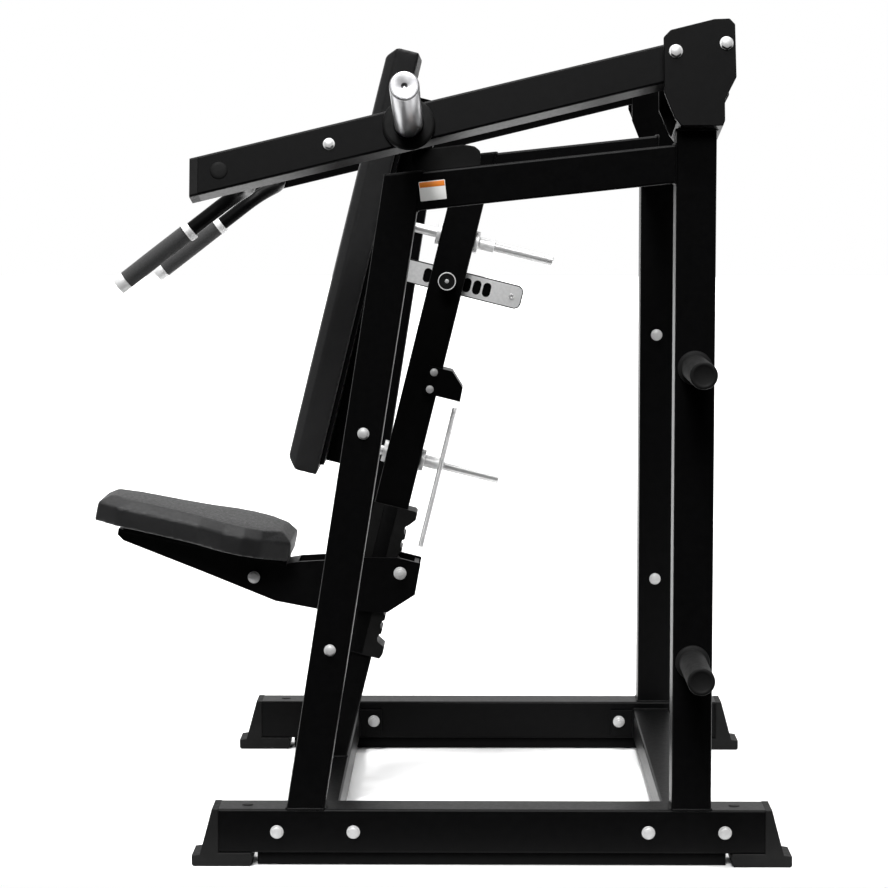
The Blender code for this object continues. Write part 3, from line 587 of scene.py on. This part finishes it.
def make_welds():
    slope = Vector((0, math.cos(BEAM_SLOPE), math.sin(BEAM_SLOPE)))
    for tag, side in SIDES.items():
        x = side * (OUTER_FACE - HALF)
        rear_x = side * (OUTER_FACE - REAR_HALF)
        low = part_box(f"front_upright_{tag}")[0]
        half_y = HALF / math.cos(FRONT_LEAN)
        foot = loop_points(Vector((x, low.y + half_y, low.z)), X_AXIS, Y_AXIS, HALF, half_y)
        rear = box_middle(f"rear_upright_{tag}")
        rear_foot = loop_points(Vector((rear_x, rear.y, low.z)), X_AXIS, Y_AXIS, REAR_HALF, REAR_HALF)
        weld(f"upright_foot_welds_{tag}", "frame", foot, rear_foot)

        low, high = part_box(f"top_beam_{tag}")
        face = leaning(FRONT_LEAN)
        half_v = HALF / math.cos(FRONT_LEAN + BEAM_SLOPE)
        ground = Vector((x - side * WELD_GROUND / 2, low.y, low.z))     # the outer face's bead is ground flush
        front = loop_points(ground + face * half_v, X_AXIS, face, HALF - WELD_GROUND / 2, half_v)
        half_v = HALF / math.cos(BEAM_SLOPE)
        back = loop_points(Vector((x, high.y, high.z - half_v)), X_AXIS, Z_AXIS, HALF, half_v)
        weld(f"side_beam_welds_{tag}", "frame", front, back)

        pivot = PIVOTS[tag]
        up = pivot.to_3x3() @ Z_AXIS
        out = pivot.to_3x3() @ X_AXIS
        foot_at = pivot @ Vector((0, 0, -BRACKET_FOOT))
        height = foot_at.z - (rear_x - foot_at.x) * up.x / up.z
        weld(f"bracket_weld_{tag}", "frame",
             loop_points(Vector((rear_x, rear.y, height)), out, Y_AXIS, REAR_HALF / abs(up.z), REAR_HALF))

    ends = []
    middle = box_middle("rear_top_crossmember")
    for side in SIDES.values():
        ends.append(loop_points(Vector((side * REAR_INNER, middle.y, middle.z)), Y_AXIS, Z_AXIS, HALF, HALF))
    low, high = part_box("center_top_beam")
    face = leaning(COLUMN_LEAN)
    half_v = HALF / math.cos(COLUMN_LEAN + BEAM_SLOPE)
    ends.append(loop_points(Vector((0, low.y, low.z)) + face * half_v, X_AXIS, face, HALF, half_v))
    half_v = HALF / math.cos(BEAM_SLOPE)
    ends.append(loop_points(Vector((0, high.y, high.z - half_v)), X_AXIS, Z_AXIS, HALF, half_v))
    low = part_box("center_column")[0]
    half_y = HALF / math.cos(COLUMN_LEAN)
    ends.append(loop_points(Vector((0, low.y + half_y, low.z)), X_AXIS, Y_AXIS, HALF, half_y))
    for cross in ("front_crossmember", "rear_crossmember"):
        low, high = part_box(cross)
        middle = (low + high) / 2
        for side in SIDES.values():
            at = Vector((side * (high.x - 0.008), middle.y, middle.z))
            ends.append(loop_points(at, Y_AXIS, Z_AXIS, RAIL_HALF, (high.z - low.z) / 2))
    weld("centre_frame_welds", "frame", *ends)


def section_cap(name, body, centre, u, v, half_u, half_v, look="black_plastic"):
    """A moulded cap over the open end of a square tube."""
    outline = rounded_rectangle(2 * half_u, 2 * half_v, 0.005)
    mesh = rounded_plate(name, outline, 0.0030, 0.0012)
    return piece(name, mesh, look, body, basis(u, v, u.cross(v), centre))


def make_caps_and_plugs():
    slope = Vector((0, math.cos(BEAM_SLOPE), math.sin(BEAM_SLOPE)))
    for tag, side in SIDES.items():
        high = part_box(f"front_upright_{tag}")[1]
        half_v = HALF / math.cos(FRONT_LEAN + BEAM_SLOPE)
        centre = Vector((side * (OUTER_FACE - HALF), high.y, high.z)) - slope * half_v
        section_cap(f"upright_cap_{tag}", "frame", centre, X_AXIS, slope, HALF, half_v)

        arm = arm_frame(tag)
        tail = arm @ Vector((0, ARM_TAIL, 0))
        rotation = arm.to_3x3()
        section_cap(f"arm_tail_cap_{tag}", ARM_BODY[tag], tail, rotation @ Z_AXIS, rotation @ X_AXIS, HALF, HALF)

        rail_low, rail_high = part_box(f"base_rail_{tag}")
        plug = lathe("rail_plug", [(0, 0.0016), (0.0060, 0.0015), (0.0090, 0.0010), (0.0102, 0.0), (0, 0)], 40)
        x = (rail_low.x + rail_high.x) / 2
        joined(f"rail_plugs_{tag}", plug,
               [Matrix.Translation((x, y, rail_high.z)) for y in (rail_low.y + 0.0495, rail_high.y - 0.0525)],
               "black_plastic", "frame")
    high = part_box("center_column")[1]
    half_v = HALF / math.cos(COLUMN_LEAN + BEAM_SLOPE)
    centre = Vector((0, high.y, high.z)) - slope * half_v
    section_cap("column_cap", "frame", centre, X_AXIS, slope, HALF, half_v)


def make_shadow_bars():
    """A dark flat bar under each rail, set in from its sides, from foot to foot: painted shadow, standing in for the
    shade between rail and floor.
    """
    for tag, side in SIDES.items():
        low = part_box(f"base_rail_{tag}")[0]
        front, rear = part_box(f"front_foot_{tag}")[1].y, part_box(f"rear_foot_{tag}")[0].y
        outline = rounded_rectangle(2 * (RAIL_HALF - SHADOW_BAR_INSET), rear - front - 2 * SHADOW_BAR_GAP, 0.002)
        bar = rounded_plate("runner", outline, low.z - SHADOW_BAR_CLEAR - 0.0003)
        middle = Vector((side * (OUTER_FACE - RAIL_HALF), (front + rear) / 2, SHADOW_BAR_CLEAR))
        piece(f"rail_runner_{tag}", bar, "black_powder_coat", "frame", Matrix.Translation(middle))


def make_label():
    """A blank two-colour sticker on the selector side of the frame."""
    slope = Vector((0, math.cos(BEAM_SLOPE), math.sin(BEAM_SLOPE)))
    up = X_AXIS.cross(slope)
    centre = DATUM + Vector((OUTER_FACE, -0.0220, 1.2035))
    width, height, header = 0.046, 0.034, 0.0095
    body = rounded_plate("label", rounded_rectangle(width, height, 0.0015), 0.00025, 0.0001)
    piece("label_body", body, "label_white", "frame", basis(slope, up, X_AXIS, centre))
    strip = rounded_plate("label", rounded_rectangle(width - 0.002, header, 0.0010), 0.00020, 0.0001)
    at = centre + up * (height - header - 0.002) / 2 + X_AXIS * 0.00020
    piece("label_header", strip, "label_orange", "frame", basis(slope, up, X_AXIS, at))


# ---------------------------------------------------------------- plate horns
def outward(origin, point, side):
    """Local Z out along the X of a frame, on one side of the machine."""
    return origin @ Matrix.Translation(point) @ Matrix.Rotation(side * math.pi / 2, 4, "Y")


def make_horns():
    radius, length, flange_t = 0.025, 0.315, 0.012
    for tag, side in SIDES.items():
        place = outward(arm_frame(tag), (0, -HORN_AT, 0), side)
        face = HALF + 0.0003
        tip = face + length
        horn = lathe("weight_horn", [(0, tip - 0.0030), (0.0022, tip - 0.0022), (0.0042, tip - 0.0006), (0.0052, tip - 0.0002),
                                     (0.0060, tip), (0.0205, tip), (0.0208, tip - 0.0004), (0.0212, tip),
                                     (radius - 0.0022, tip), (radius - 0.0007, tip - 0.0006), (radius, tip - 0.0020),
                                     (radius, face + flange_t + 0.0004), (radius, face), (0, face)], 96)
        piece(f"plate_horn_{tag}", horn, "brushed_steel", ARM_BODY[tag], place, [f"weight_horn_{tag}"])
        top = face + flange_t
        disc = lathe("plate_stop", [(radius + 0.0002, top - 0.0020), (radius + 0.0022, top), (0.0400, top),
                                    (0.0428, top - 0.0006), (0.0450, top - 0.0024), (0.0460, top - 0.0050),
                                    (0.0460, face + 0.0030), (0.0450, face + 0.0010), (0.0430, face),
                                    (radius + 0.0002, face), (radius + 0.0002, top - 0.0020)], 96)
        piece(f"plate_stop_{tag}", disc, "black_rubber", ARM_BODY[tag], place, [f"horn_flange_{tag}"])

        for level in ("upper", "lower"):
            middle = box_middle(f"{level}_storage_horn_{tag}")
            place = outward(Matrix(), (0, middle.y, middle.z), side)
            face = OUTER_FACE + 0.0003
            tip = face + 0.200
            grip = lathe("storage_horn", [(0, tip - 0.0016), (0.0150, tip - 0.0016), (0.0172, tip - 0.0006),
                                          (0.0185, tip), (0.0215, tip), (0.0232, tip - 0.0010),
                                          (0.0239, tip - 0.0030), (0.0239, face + 0.0085), (0.0246, face + 0.0070),
                                          (0.0280, face + 0.0062), (0.0298, face + 0.0050), (0.0305, face + 0.0030),
                                          (0.0305, face), (0, face)], 80)
            piece(f"{level}_horn_sleeve_{tag}", grip, "black_rubber", "frame", place,
                  [f"{level}_storage_horn_{tag}"])


# ---------------------------------------------------------------- handles
GRIP_TOP = Vector((0.32, -0.4645, 1.1347)) + DATUM
GRIP_TIP = Vector((0.32, -0.6051, 1.0263)) + DATUM
GRIP_R, HANDLE_R = 0.0168, 0.0135
HANDLE_ROOT_Y, HANDLE_REACH = -0.80, 0.135


def handle_route(tag, side):
    """Points along the bent tube, in the pivot's frame: square out of the arm, then down along the grip."""
    to_pivot = PIVOTS[tag].inverted()

    def local(point):
        return to_pivot @ Vector((side * point.x, point.y, point.z))
    run = (GRIP_TIP - GRIP_TOP).normalized()
    top, straight, corner = (local(GRIP_TOP + run * step) for step in (0.004, -0.055, -0.115))
    drop = HANDLE_ROOT_Y * math.tan(ARM_PITCH) - 0.004
    root = Vector((-side * (HALF + 0.0003), HANDLE_ROOT_Y, drop))
    turn = Vector((-side * HANDLE_REACH, HANDLE_ROOT_Y, drop))
    knots = ((root, root + (turn - root) / 3, root),
             (turn, turn + (turn - root) / 2.2, turn - (turn - root) / 3),
             (straight, straight - (corner - straight) * 0.4, corner),
             (top, top, top + (straight - top) / 3))
    points = []
    for (start, leaving, _), (end, _, arriving) in zip(knots, knots[1:]):
        points += interpolate_bezier(start, leaving, arriving, end, 22)[:-1]
    return points + [top]


def make_handles():
    for tag, side in SIDES.items():
        body, pivot = ARM_BODY[tag], PIVOTS[tag]
        route = handle_route(tag, side)
        tube = tube_along("handle", route, [HANDLE_R] * len(route), 32)
        piece(f"handle_bar_{tag}", tube, "black_powder_coat", body, pivot, [f"handle_tube_{tag}"])
        root = facing(route[1] - route[0], route[0])
        weld(f"handle_weld_{tag}", body, ring_points(pivot @ root, HANDLE_R + 0.0005))

        top, tip = (Vector((side * p.x, p.y, p.z)) for p in (GRIP_TOP, GRIP_TIP))
        place = facing(top - tip, top)
        length = (tip - top).length
        start, collar, end = 0.0047, 0.0130, length - 0.0203
        ring = GRIP_R + 0.0015
        band = lathe("collar", [(HANDLE_R - 0.001, -start), (ring - 0.0006, -start), (ring, -start - 0.0006),
                                (ring, -start - collar + 0.0034), (ring - 0.0005, -start - collar + 0.0030),
                                (ring - 0.0005, -start - collar + 0.0026), (ring, -start - collar + 0.0022),
                                (ring, -start - collar + 0.0006), (ring - 0.0006, -start - collar),
                                (HANDLE_R - 0.001, -start - collar), (HANDLE_R - 0.001, -start)], 64)
        piece(f"grip_collar_{tag}", band, "aluminium", body, place)
        upper = -start - collar - 0.0002
        foam = [(0, upper), (GRIP_R - 0.0010, upper), (GRIP_R, upper - 0.0012)]
        rows = 60
        for row in range(1, rows):
            share = row / rows
            swell = 0.0003 * math.sin(math.pi * share)
            foam.append((GRIP_R - 0.0004 + swell, upper - 0.0012 + (-end - upper + 0.0024) * share))
        foam += [(GRIP_R, -end + 0.0012), (GRIP_R - 0.0010, -end), (0, -end)]
        piece(f"grip_sleeve_{tag}", lathe("grip", foam, 64), "grip_rubber", body, place, [f"handle_grip_{tag}"])
        cap = lathe("grip_cap", [(0, -end - 0.0003), (GRIP_R - 0.0006, -end - 0.0003), (GRIP_R, -end - 0.0009),
                                 (GRIP_R, -end - 0.0040), (GRIP_R - 0.0005, -end - 0.0044),
                                 (GRIP_R - 0.0005, -end - 0.0048), (GRIP_R, -end - 0.0052),
                                 (GRIP_R, -length + 0.0020), (GRIP_R - 0.0006, -length + 0.0006),
                                 (GRIP_R - 0.0020, -length), (0.0080, -length), (0.0070, -length + 0.0008),
                                 (0, -length + 0.0008)], 64)
        piece(f"grip_cap_{tag}", cap, "aluminium", body, place, [f"grip_end_cap_{tag}"])


# ---------------------------------------------------------------- column fittings
def along_column_rear(height):
    """Local Z to the rear, square to the column, at a height on it."""
    return COLUMN @ Matrix.Translation((0, 0, height)) @ Matrix.Rotation(-math.pi / 2, 4, "X")


def make_rods():
    rod_r, rod_front, rod_rear = 0.0095, -0.0887, 0.192
    sleeve_r, flange_r, flange_t = 0.0123, 0.0215, 0.0080
    skin = HALF + 0.0003
    for name in ("upper", "lower"):
        height = (COLUMN.inverted() @ box_middle(f"{name}_guide_rod")).z
        place = along_column_rear(height)
        rod = [(0, rod_rear), (0.0040, rod_rear), (0.0078, rod_rear), (rod_r, rod_rear - 0.0017),
               (rod_r, rod_rear - 0.0080), (rod_r - 0.0007, rod_rear - 0.0082), (rod_r - 0.0007, rod_rear - 0.0096),
               (rod_r, rod_rear - 0.0098), (rod_r, rod_front), (0, rod_front)]
        piece(f"{name}_slide_rod", lathe("rod", rod, 64), "chrome", "back_carriage", place,
              [f"{name}_guide_rod"])
        bore = rod_r + 0.0003
        tail = skin + 0.040
        bush = [(bore, tail), (sleeve_r - 0.0008, tail), (sleeve_r, tail - 0.0008), (sleeve_r, skin + flange_t),
                (flange_r - 0.0008, skin + flange_t), (flange_r, skin + flange_t - 0.0008),
                (flange_r, skin + 0.0006), (flange_r - 0.0006, skin), (0.0139, skin), (0.0139, -skin),
                (flange_r - 0.0006, -skin), (flange_r, -skin - 0.0006), (flange_r, -skin - flange_t + 0.0008),
                (flange_r - 0.0008, -skin - flange_t), (bore, -skin - flange_t), (bore, tail)]
        piece(f"{name}_bush", lathe("bush", bush, 64), "aluminium", "frame", place, [f"{name}_rod_sleeve"])


SLOT_PITCH, SLOTS_AHEAD, SLOTS_BEHIND = 0.0198, 2, 4


def slot_outline(centre, half_w, half_l, steps=10):
    points = []
    for end, start in ((half_l - half_w, 0), (half_w - half_l, 180)):
        for step in range(steps + 1):
            angle = math.radians(start + 180 * step / steps)
            points.append((centre + half_w * math.cos(angle), end + half_w * math.sin(angle)))
    return points


def flat_sheet(name, outlines, thickness):
    """A thin sheet in XY from an outline and the holes in it."""
    curve = bpy.data.curves.new(name, "CURVE")
    curve.dimensions = "2D"
    curve.fill_mode = "BOTH"
    curve.extrude = thickness / 2
    for outline in outlines:
        spline = curve.splines.new("POLY")
        spline.points.add(len(outline) - 1)
        for point, (x, y) in zip(spline.points, outline):
            point.co = (x, y, 0, 1)
        spline.use_cyclic_u = True
    holder = bpy.data.objects.new(name, curve)
    bpy.context.scene.collection.objects.link(holder)
    mesh = bpy.data.meshes.new_from_object(holder.evaluated_get(bpy.context.evaluated_depsgraph_get()))
    bpy.data.objects.remove(holder)
    bm = bmesh.new()
    bm.from_mesh(mesh)
    bpy.data.meshes.remove(mesh)
    bmesh.ops.remove_doubles(bm, verts=bm.verts, dist=0.00002)
    return to_mesh(bm, name)


def make_slotted_plate():
    half_t, half_h, front, rear = 0.004, 0.0231, -0.0885, 0.150
    border = 0.0021
    outline = [(front + 0.001, half_h - border), (front + 0.001, border - half_h),
               (rear - 0.0105, border - half_h), (rear - 0.0046, border - half_h + 0.0032),
               (rear - border, 0.0115 - half_h), (rear - border, half_h - 0.0115),
               (rear - 0.0046, half_h - border - 0.0032), (rear - 0.0105, half_h - border)]
    slots = [slot_outline(i * SLOT_PITCH, 0.0079, 0.0141) for i in range(-SLOTS_AHEAD, SLOTS_BEHIND + 1)]
    # Painted shade: a dark sheet in the plate's mid-plane fills the slots, standing in for the shade seen through
    # them.
    fills = [slot_outline(i * SLOT_PITCH, 0.0074, 0.0136) for i in range(-SLOTS_AHEAD, SLOTS_BEHIND + 1)]
    piece("slot_shade_sheet", flat_sheet("slot_shade_sheet", fills, 0.0004), "black_powder_coat", "back_carriage",
          basis(COLUMN_REAR, COLUMN_UP, X_AXIS, COLUMN_ORIGIN))
    for tag, side in SIDES.items():
        sheet = flat_sheet("plate_face", [outline] + slots, 0.0003)
        place = basis(COLUMN_REAR * side, COLUMN_UP, X_AXIS * side,
                      COLUMN_ORIGIN + X_AXIS * side * (half_t + 0.00012))
        if side < 0:        # the outline is mirrored, so the sheet still runs to the rear
            sheet.transform(Matrix.Diagonal((-1, 1, 1, 1)))
            sheet.flip_normals()
        piece(f"plate_face_{tag}", sheet, "aluminium", "back_carriage", place)
        screw = lathe("plate_screw", [(0, 0.0012), (0.0016, 0.0012), (0.0020, 0.0024), (0.0042, 0.0022),
                                      (0.0052, 0.0012), (0.0054, 0.0), (0, 0)], 32)
        piece(f"plate_screw_{tag}", screw, "chrome", "back_carriage",
              facing(X_AXIS * side, column_point(side * (half_t + 0.0002), 0.1290, -0.0005)))


def make_selector():
    out = X_AXIS
    place = facing(out, COLUMN_ORIGIN)
    knob = [(0, 0.0649), (0.0152, 0.0649), (0.0154, 0.0655), (0.0168, 0.0655), (0.0175, 0.0646),
            (0.0175, 0.0600), (0.0172, 0.0594), (0.0175, 0.0588), (0.0175, 0.0530), (0.0168, 0.0500),
            (0.0150, 0.0466), (0.0140, 0.0464), (0.0060, 0.0464), (0, 0.0464)]
    mesh = lathe("knob", knob, 96)
    for vert in mesh.vertices:      # finger grooves round the waist
        radius = math.hypot(vert.co.x, vert.co.y)
        if radius > 0.0160 and vert.co.z < 0.0590:
            dent = 1 - 0.035 * (0.5 + 0.5 * math.cos(16 * math.atan2(vert.co.y, vert.co.x)))
            vert.co.x *= dent
            vert.co.y *= dent
    piece("selector_grip", mesh, "black_plastic", "selector", place, ["selector_knob"])
    ring = [(0.0155, 0.0658), (0.0170, 0.0658), (0.0173, 0.0655), (0.0170, 0.0650), (0.0155, 0.0650), (0.0155, 0.0658)]
    piece("selector_ring", lathe("ring", ring, 96), "aluminium", "selector", place)
    badge = [(0, 0.0654), (0.0034, 0.0654), (0.0040, 0.0651), (0.0040, 0.0646), (0, 0.0646)]
    piece("selector_badge", lathe("badge", badge, 48), "zinc", "selector", place)
    pin = [(0, 0.0466), (0.0058, 0.0466), (0.0060, 0.0460), (0.0060, 0.0066), (0.0045, 0.0048), (0, 0.0048)]
    piece("selector_pin", lathe("pin", pin, 40), "chrome", "selector", place)


def make_spring():
    """An extension spring beside the rods, hooked to the hanger above and to the seat carriage below."""
    low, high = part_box("seat_spring")
    top = COLUMN.inverted() @ Vector(((low.x + high.x) / 2, high.y, high.z))
    bottom = COLUMN.inverted() @ Vector(((low.x + high.x) / 2, low.y, low.z))
    x, y = top.x, (top.y + bottom.y) / 2
    z0, z1 = -0.5310, -0.2245
    wire, coil, hook = 0.00070, 0.0047, 0.0135
    turns = round((z1 - z0 - 2 * hook) / (wire * 2.25))
    steps = 12
    points = [Vector((x, y, z1 + 0.004)), Vector((x, y + 0.002, z1 + 0.001)), Vector((x, y + 0.0046, z1 - 0.004)),
              Vector((x, y + 0.0040, z1 - 0.010)), Vector((x, y + 0.0020, z1 - 0.0135))]
    for i in range(turns * steps + 1):
        angle = math.pi / 2 + 2 * math.pi * i / steps
        z = z1 - hook - (z1 - z0 - 2 * hook) * i / (turns * steps)
        points.append(Vector((x + coil * math.cos(angle), y + coil * math.sin(angle), z)))
    points += [Vector((x, y + 0.0020, z0 + 0.0135)), Vector((x, y + 0.0040, z0 + 0.010)),
               Vector((x, y + 0.0046, z0 + 0.004)), Vector((x, y + 0.002, z0 - 0.001)), Vector((x, y, z0 - 0.004))]
    points = [COLUMN @ p for p in points]
    mesh = tube_along("spring", points, [wire] * len(points), 6)
    obj = bpy.data.objects.new("tension_spring", mesh)
    bpy.context.scene.collection.objects.link(obj)
    mesh.materials.append(MATERIALS["chrome"])
    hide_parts("seat_spring")
    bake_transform(obj)


def make_rack_strips():
    """Black wear strips down the sides of the notched rack."""
    top, bottom, width = -0.4525, -0.7490, 0.0269
    for tag, side in SIDES.items():
        outline = rounded_rectangle(width, top - bottom, 0.0020)
        mesh = rounded_plate("strip", outline, 0.0008, 0.0003)
        place = basis(COLUMN_REAR * side, COLUMN_UP, X_AXIS * side,
                      column_point(side * CHEEK_X, 0.0, (top + bottom) / 2))
        piece(f"rack_strip_{tag}", mesh, "black_powder_coat", "frame", place)


# ---------------------------------------------------------------- upholstery
VOXEL, SMOOTH_ROUNDS = 0.0040, 1
SEAM_REACH, PUFF_FRAMES, PUFF_PRESSURE, PUFF_CAP = 0.0045, 16, 4.0, 0.0025
GROOVE_DEPTH, GROOVE_WIDTH, LONG_SEAM = 0.0004, 0.0020, 0.040
SEAM_ANGLE = math.radians(12)


def seams_of(node):
    """A clean copy of a cushion's plain solid, and its creases, each as its two ends."""
    bm = bmesh.new()
    bm.from_mesh(frame["nodes"][node].data)
    bmesh.ops.remove_doubles(bm, verts=bm.verts, dist=0.00005)
    bmesh.ops.dissolve_limit(bm, angle_limit=math.radians(2), verts=bm.verts, edges=bm.edges)
    bmesh.ops.recalc_face_normals(bm, faces=bm.faces)
    seams = [(edge.verts[0].co.copy(), edge.verts[1].co.copy()) for edge in bm.edges
             if len(edge.link_faces) == 2 and edge.calc_face_angle(0) > SEAM_ANGLE]
    cage = bpy.data.meshes.new(f"{node}_cage")
    bm.to_mesh(cage)
    bm.free()
    return cage, seams


def seam_distance(points, seams):
    """Distance from each point to the nearest seam, as a numpy array."""
    nearest = np.full(len(points), 1e9)
    for start, end in seams:
        a, b = np.array(start), np.array(end)
        run = b - a
        share = np.clip((points - a) @ run / (run @ run), 0, 1)
        nearest = np.minimum(nearest, np.linalg.norm(points - (a + share[:, None] * run), axis=1))
    return nearest


def coordinates(mesh):
    flat = np.zeros(len(mesh.vertices) * 3)
    mesh.vertices.foreach_get("co", flat)
    return flat.reshape(-1, 3)


def normals(mesh):
    flat = np.zeros(len(mesh.vertices) * 3)
    mesh.vertex_normals.foreach_get("vector", flat)
    return flat.reshape(-1, 3)


def evaluated_copy(obj, name):
    graph = bpy.context.evaluated_depsgraph_get()
    graph.update()
    mesh = bpy.data.meshes.new_from_object(obj.evaluated_get(graph))
    mesh.name = name
    return mesh


def puffed(obj, seams, back):
    """Cloth with air inside, held at its seams and on its board, and moved no further than the cap."""
    rest = coordinates(obj.data)
    held = (seam_distance(rest, seams) < SEAM_REACH) | (back(rest) < 0.004)
    group = obj.vertex_groups.new(name="held")
    group.add([int(i) for i in np.flatnonzero(held)], 1.0, "REPLACE")
    cloth = obj.modifiers.new("puff", "CLOTH")
    settings = cloth.settings
    settings.quality = 4
    settings.use_pressure = True
    settings.uniform_pressure_force = PUFF_PRESSURE
    settings.effector_weights.gravity = 0
    settings.vertex_group_mass = group.name
    settings.pin_stiffness = 1.0
    cloth.point_cache.frame_start, cloth.point_cache.frame_end = 1, PUFF_FRAMES
    scene = bpy.context.scene
    for step in range(1, PUFF_FRAMES + 1):
        scene.frame_set(step)
    moved = coordinates(evaluated_copy(obj, "puffed")) - rest
    obj.modifiers.remove(cloth)
    scene.frame_set(1)
    length = np.linalg.norm(moved, axis=1, keepdims=True)
    moved *= np.minimum(1.0, PUFF_CAP / np.maximum(length, 1e-9))
    obj.data.vertices.foreach_set("co", (rest + moved).ravel())
    obj.data.update()


def make_cushion(node, name, body):
    cage, seams = seams_of(node)
    piped = [seam for seam in seams if (seam[1] - seam[0]).length > LONG_SEAM]
    shell = bpy.data.objects.new(name, cage)
    bpy.context.scene.collection.objects.link(shell)
    remesh = shell.modifiers.new("even", "REMESH")
    remesh.mode = "VOXEL"
    remesh.voxel_size = VOXEL
    even = evaluated_copy(shell, name)
    shell.modifiers.remove(remesh)
    bm = bmesh.new()
    bm.from_mesh(even)
    for _ in range(SMOOTH_ROUNDS):
        bmesh.ops.smooth_vert(bm, verts=bm.verts, factor=0.5, use_axis_x=True, use_axis_y=True, use_axis_z=True)
    bm.to_mesh(even)
    bm.free()
    shell.data = even

    toward = COLUMN_REAR if node == "back_pad" else -COLUMN_UP
    board = max((p for p in cage.polygons if p.normal.dot(toward) > 0.9), key=lambda p: p.area)
    normal, reach = np.array(board.normal), board.normal.dot(board.center)

    def back(points):
        return reach - points @ normal
    puffed(shell, seams, back)
    subdivide = shell.modifiers.new("fine", "SUBSURF")
    subdivide.subdivision_type = "SIMPLE"
    subdivide.levels = subdivide.render_levels = 1
    fine = evaluated_copy(shell, name)
    shell.modifiers.remove(subdivide)
    shell.data = fine
    points = coordinates(fine)
    depth = GROOVE_DEPTH * np.exp(-(seam_distance(points, piped) / GROOVE_WIDTH) ** 2)
    points -= normals(fine) * depth[:, None]
    fine.vertices.foreach_set("co", points.ravel())
    fine.shade_smooth()
    fine.update()
    fine.materials.clear()
    fine.materials.append(MATERIALS["pad_vinyl"])
    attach(shell, body)
    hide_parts(node)


def make_pads():
    make_cushion("back_pad", "back_cushion", "back_carriage")
    make_cushion("seat_pad", "seat_cushion", "seat_slide_body")


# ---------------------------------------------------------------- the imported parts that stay
def dress_frame():
    """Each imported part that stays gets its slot's finish, and eased edges where it is folded or cut steel."""
    for name, obj in frame["nodes"].items():
        slots = [m.name.split(".")[0] for m in obj.data.materials]
        for index, slot in enumerate(slots):
            look = "black_powder_coat" if name == "adjustment_plate" else slot
            obj.data.materials[index] = MATERIALS[look]


# ---------------------------------------------------------------- floor, light and camera
FLOOR_FRONT = 0.70


def make_stage():
    """A pale floor that ends in front of the machine, so its steel mirrors a dark studio, not the floor."""
    look = Look("floor", (0.86, 0.86, 0.86), 0.9, Specular_IOR_Level=0.1)
    stage_plane("floor", (-30.0, -30.0, 0.0), (FLOOR_FRONT, 30.0, 0.0), look.material)


def stage_plane(name, low, high, material):
    bm = bmesh.new()
    corners = ((low[0], low[1]), (high[0], low[1]), (high[0], high[1]), (low[0], high[1]))
    bm.faces.new([bm.verts.new((x, y, low[2])) for x, y in corners])
    plane = bpy.data.objects.new(name, to_mesh(bm, name))
    bpy.context.scene.collection.objects.link(plane)
    plane.data.materials.append(material)


def sun_light(name, direction, strength, softness):
    data = bpy.data.lights.new(name, "SUN")
    data.energy, data.angle = strength, math.radians(softness)
    lamp = bpy.data.objects.new(name, data)
    bpy.context.scene.collection.objects.link(lamp)
    lamp.matrix_world = facing(direction, direction)


def sky_share(tree, socket, low, high, out_low, out_high):
    share = tree.nodes.new("ShaderNodeMapRange")
    share.interpolation_type = "SMOOTHSTEP"
    for name, value in (("From Min", low), ("From Max", high), ("To Min", out_low), ("To Max", out_high)):
        share.inputs[name].default_value = value
    tree.links.new(socket, share.inputs["Value"])
    return share.outputs["Result"]


def make_lights():
    """Broad soft light from above, a white backdrop, and a dark studio behind the camera."""
    sun_light("key", Vector((0.30, -0.18, 1.0)), 2.4, 9)
    sun_light("top", Vector((-0.15, 0.20, 1.0)), 1.8, 40)
    sun_light("front", Vector((1.0, -0.12, 0.90)), 3.1, 24)
    world = bpy.data.worlds.new("studio")
    bpy.context.scene.world = world
    world.use_nodes = True
    tree = world.node_tree
    tree.nodes.clear()
    output = tree.nodes.new("ShaderNodeOutputWorld")
    seen, cast = tree.nodes.new("ShaderNodeBackground"), tree.nodes.new("ShaderNodeBackground")
    seen.inputs["Color"].default_value = (1, 1, 1, 1)
    cast.inputs["Color"].default_value = (1, 1, 1, 1)
    coords = tree.nodes.new("ShaderNodeTexCoord")
    split = tree.nodes.new("ShaderNodeSeparateXYZ")
    tree.links.new(coords.outputs["Generated"], split.inputs[0])
    backdrop = sky_share(tree, split.outputs["X"], -0.75, 0.25, 1.0, 0.015)
    ceiling = sky_share(tree, split.outputs["Z"], 0.45, 0.95, 0.0, 0.80)
    total = tree.nodes.new("ShaderNodeMath")
    total.operation = "ADD"
    tree.links.new(backdrop, total.inputs[0])
    tree.links.new(ceiling, total.inputs[1])
    tree.links.new(total.outputs[0], cast.inputs["Strength"])
    path = tree.nodes.new("ShaderNodeLightPath")
    mix = tree.nodes.new("ShaderNodeMixShader")
    tree.links.new(path.outputs["Is Camera Ray"], mix.inputs[0])
    tree.links.new(cast.outputs[0], mix.inputs[1])
    tree.links.new(seen.outputs[0], mix.inputs[2])
    tree.links.new(mix.outputs[0], output.inputs["Surface"])


def make_camera():
    data = bpy.data.cameras.new("camera")
    data.sensor_width = 36.0
    data.lens = 115.54
    data.clip_start, data.clip_end = 0.1, 200.0
    camera = bpy.data.objects.new("camera", data)
    bpy.context.scene.collection.objects.link(camera)
    dip, swing = math.radians(5.33), math.radians(0.61)
    look = Vector((-math.cos(dip) * math.cos(swing), -math.cos(dip) * math.sin(swing), -math.sin(dip)))
    camera.location = Vector((5.565, 0.051, 1.225)) + DATUM
    camera.rotation_euler = look.to_track_quat("-Z", "Y").to_euler()
    bpy.context.scene.camera = camera
    bpy.context.scene.view_settings.view_transform = "Standard"


make_camera()
make_stage()
make_lights()
dress_frame()
make_fasteners()
make_welds()
make_caps_and_plugs()
make_shadow_bars()
make_label()
make_horns()
make_handles()
make_rods()
make_slotted_plate()
make_selector()
make_spring()
make_rack_strips()
make_pads()
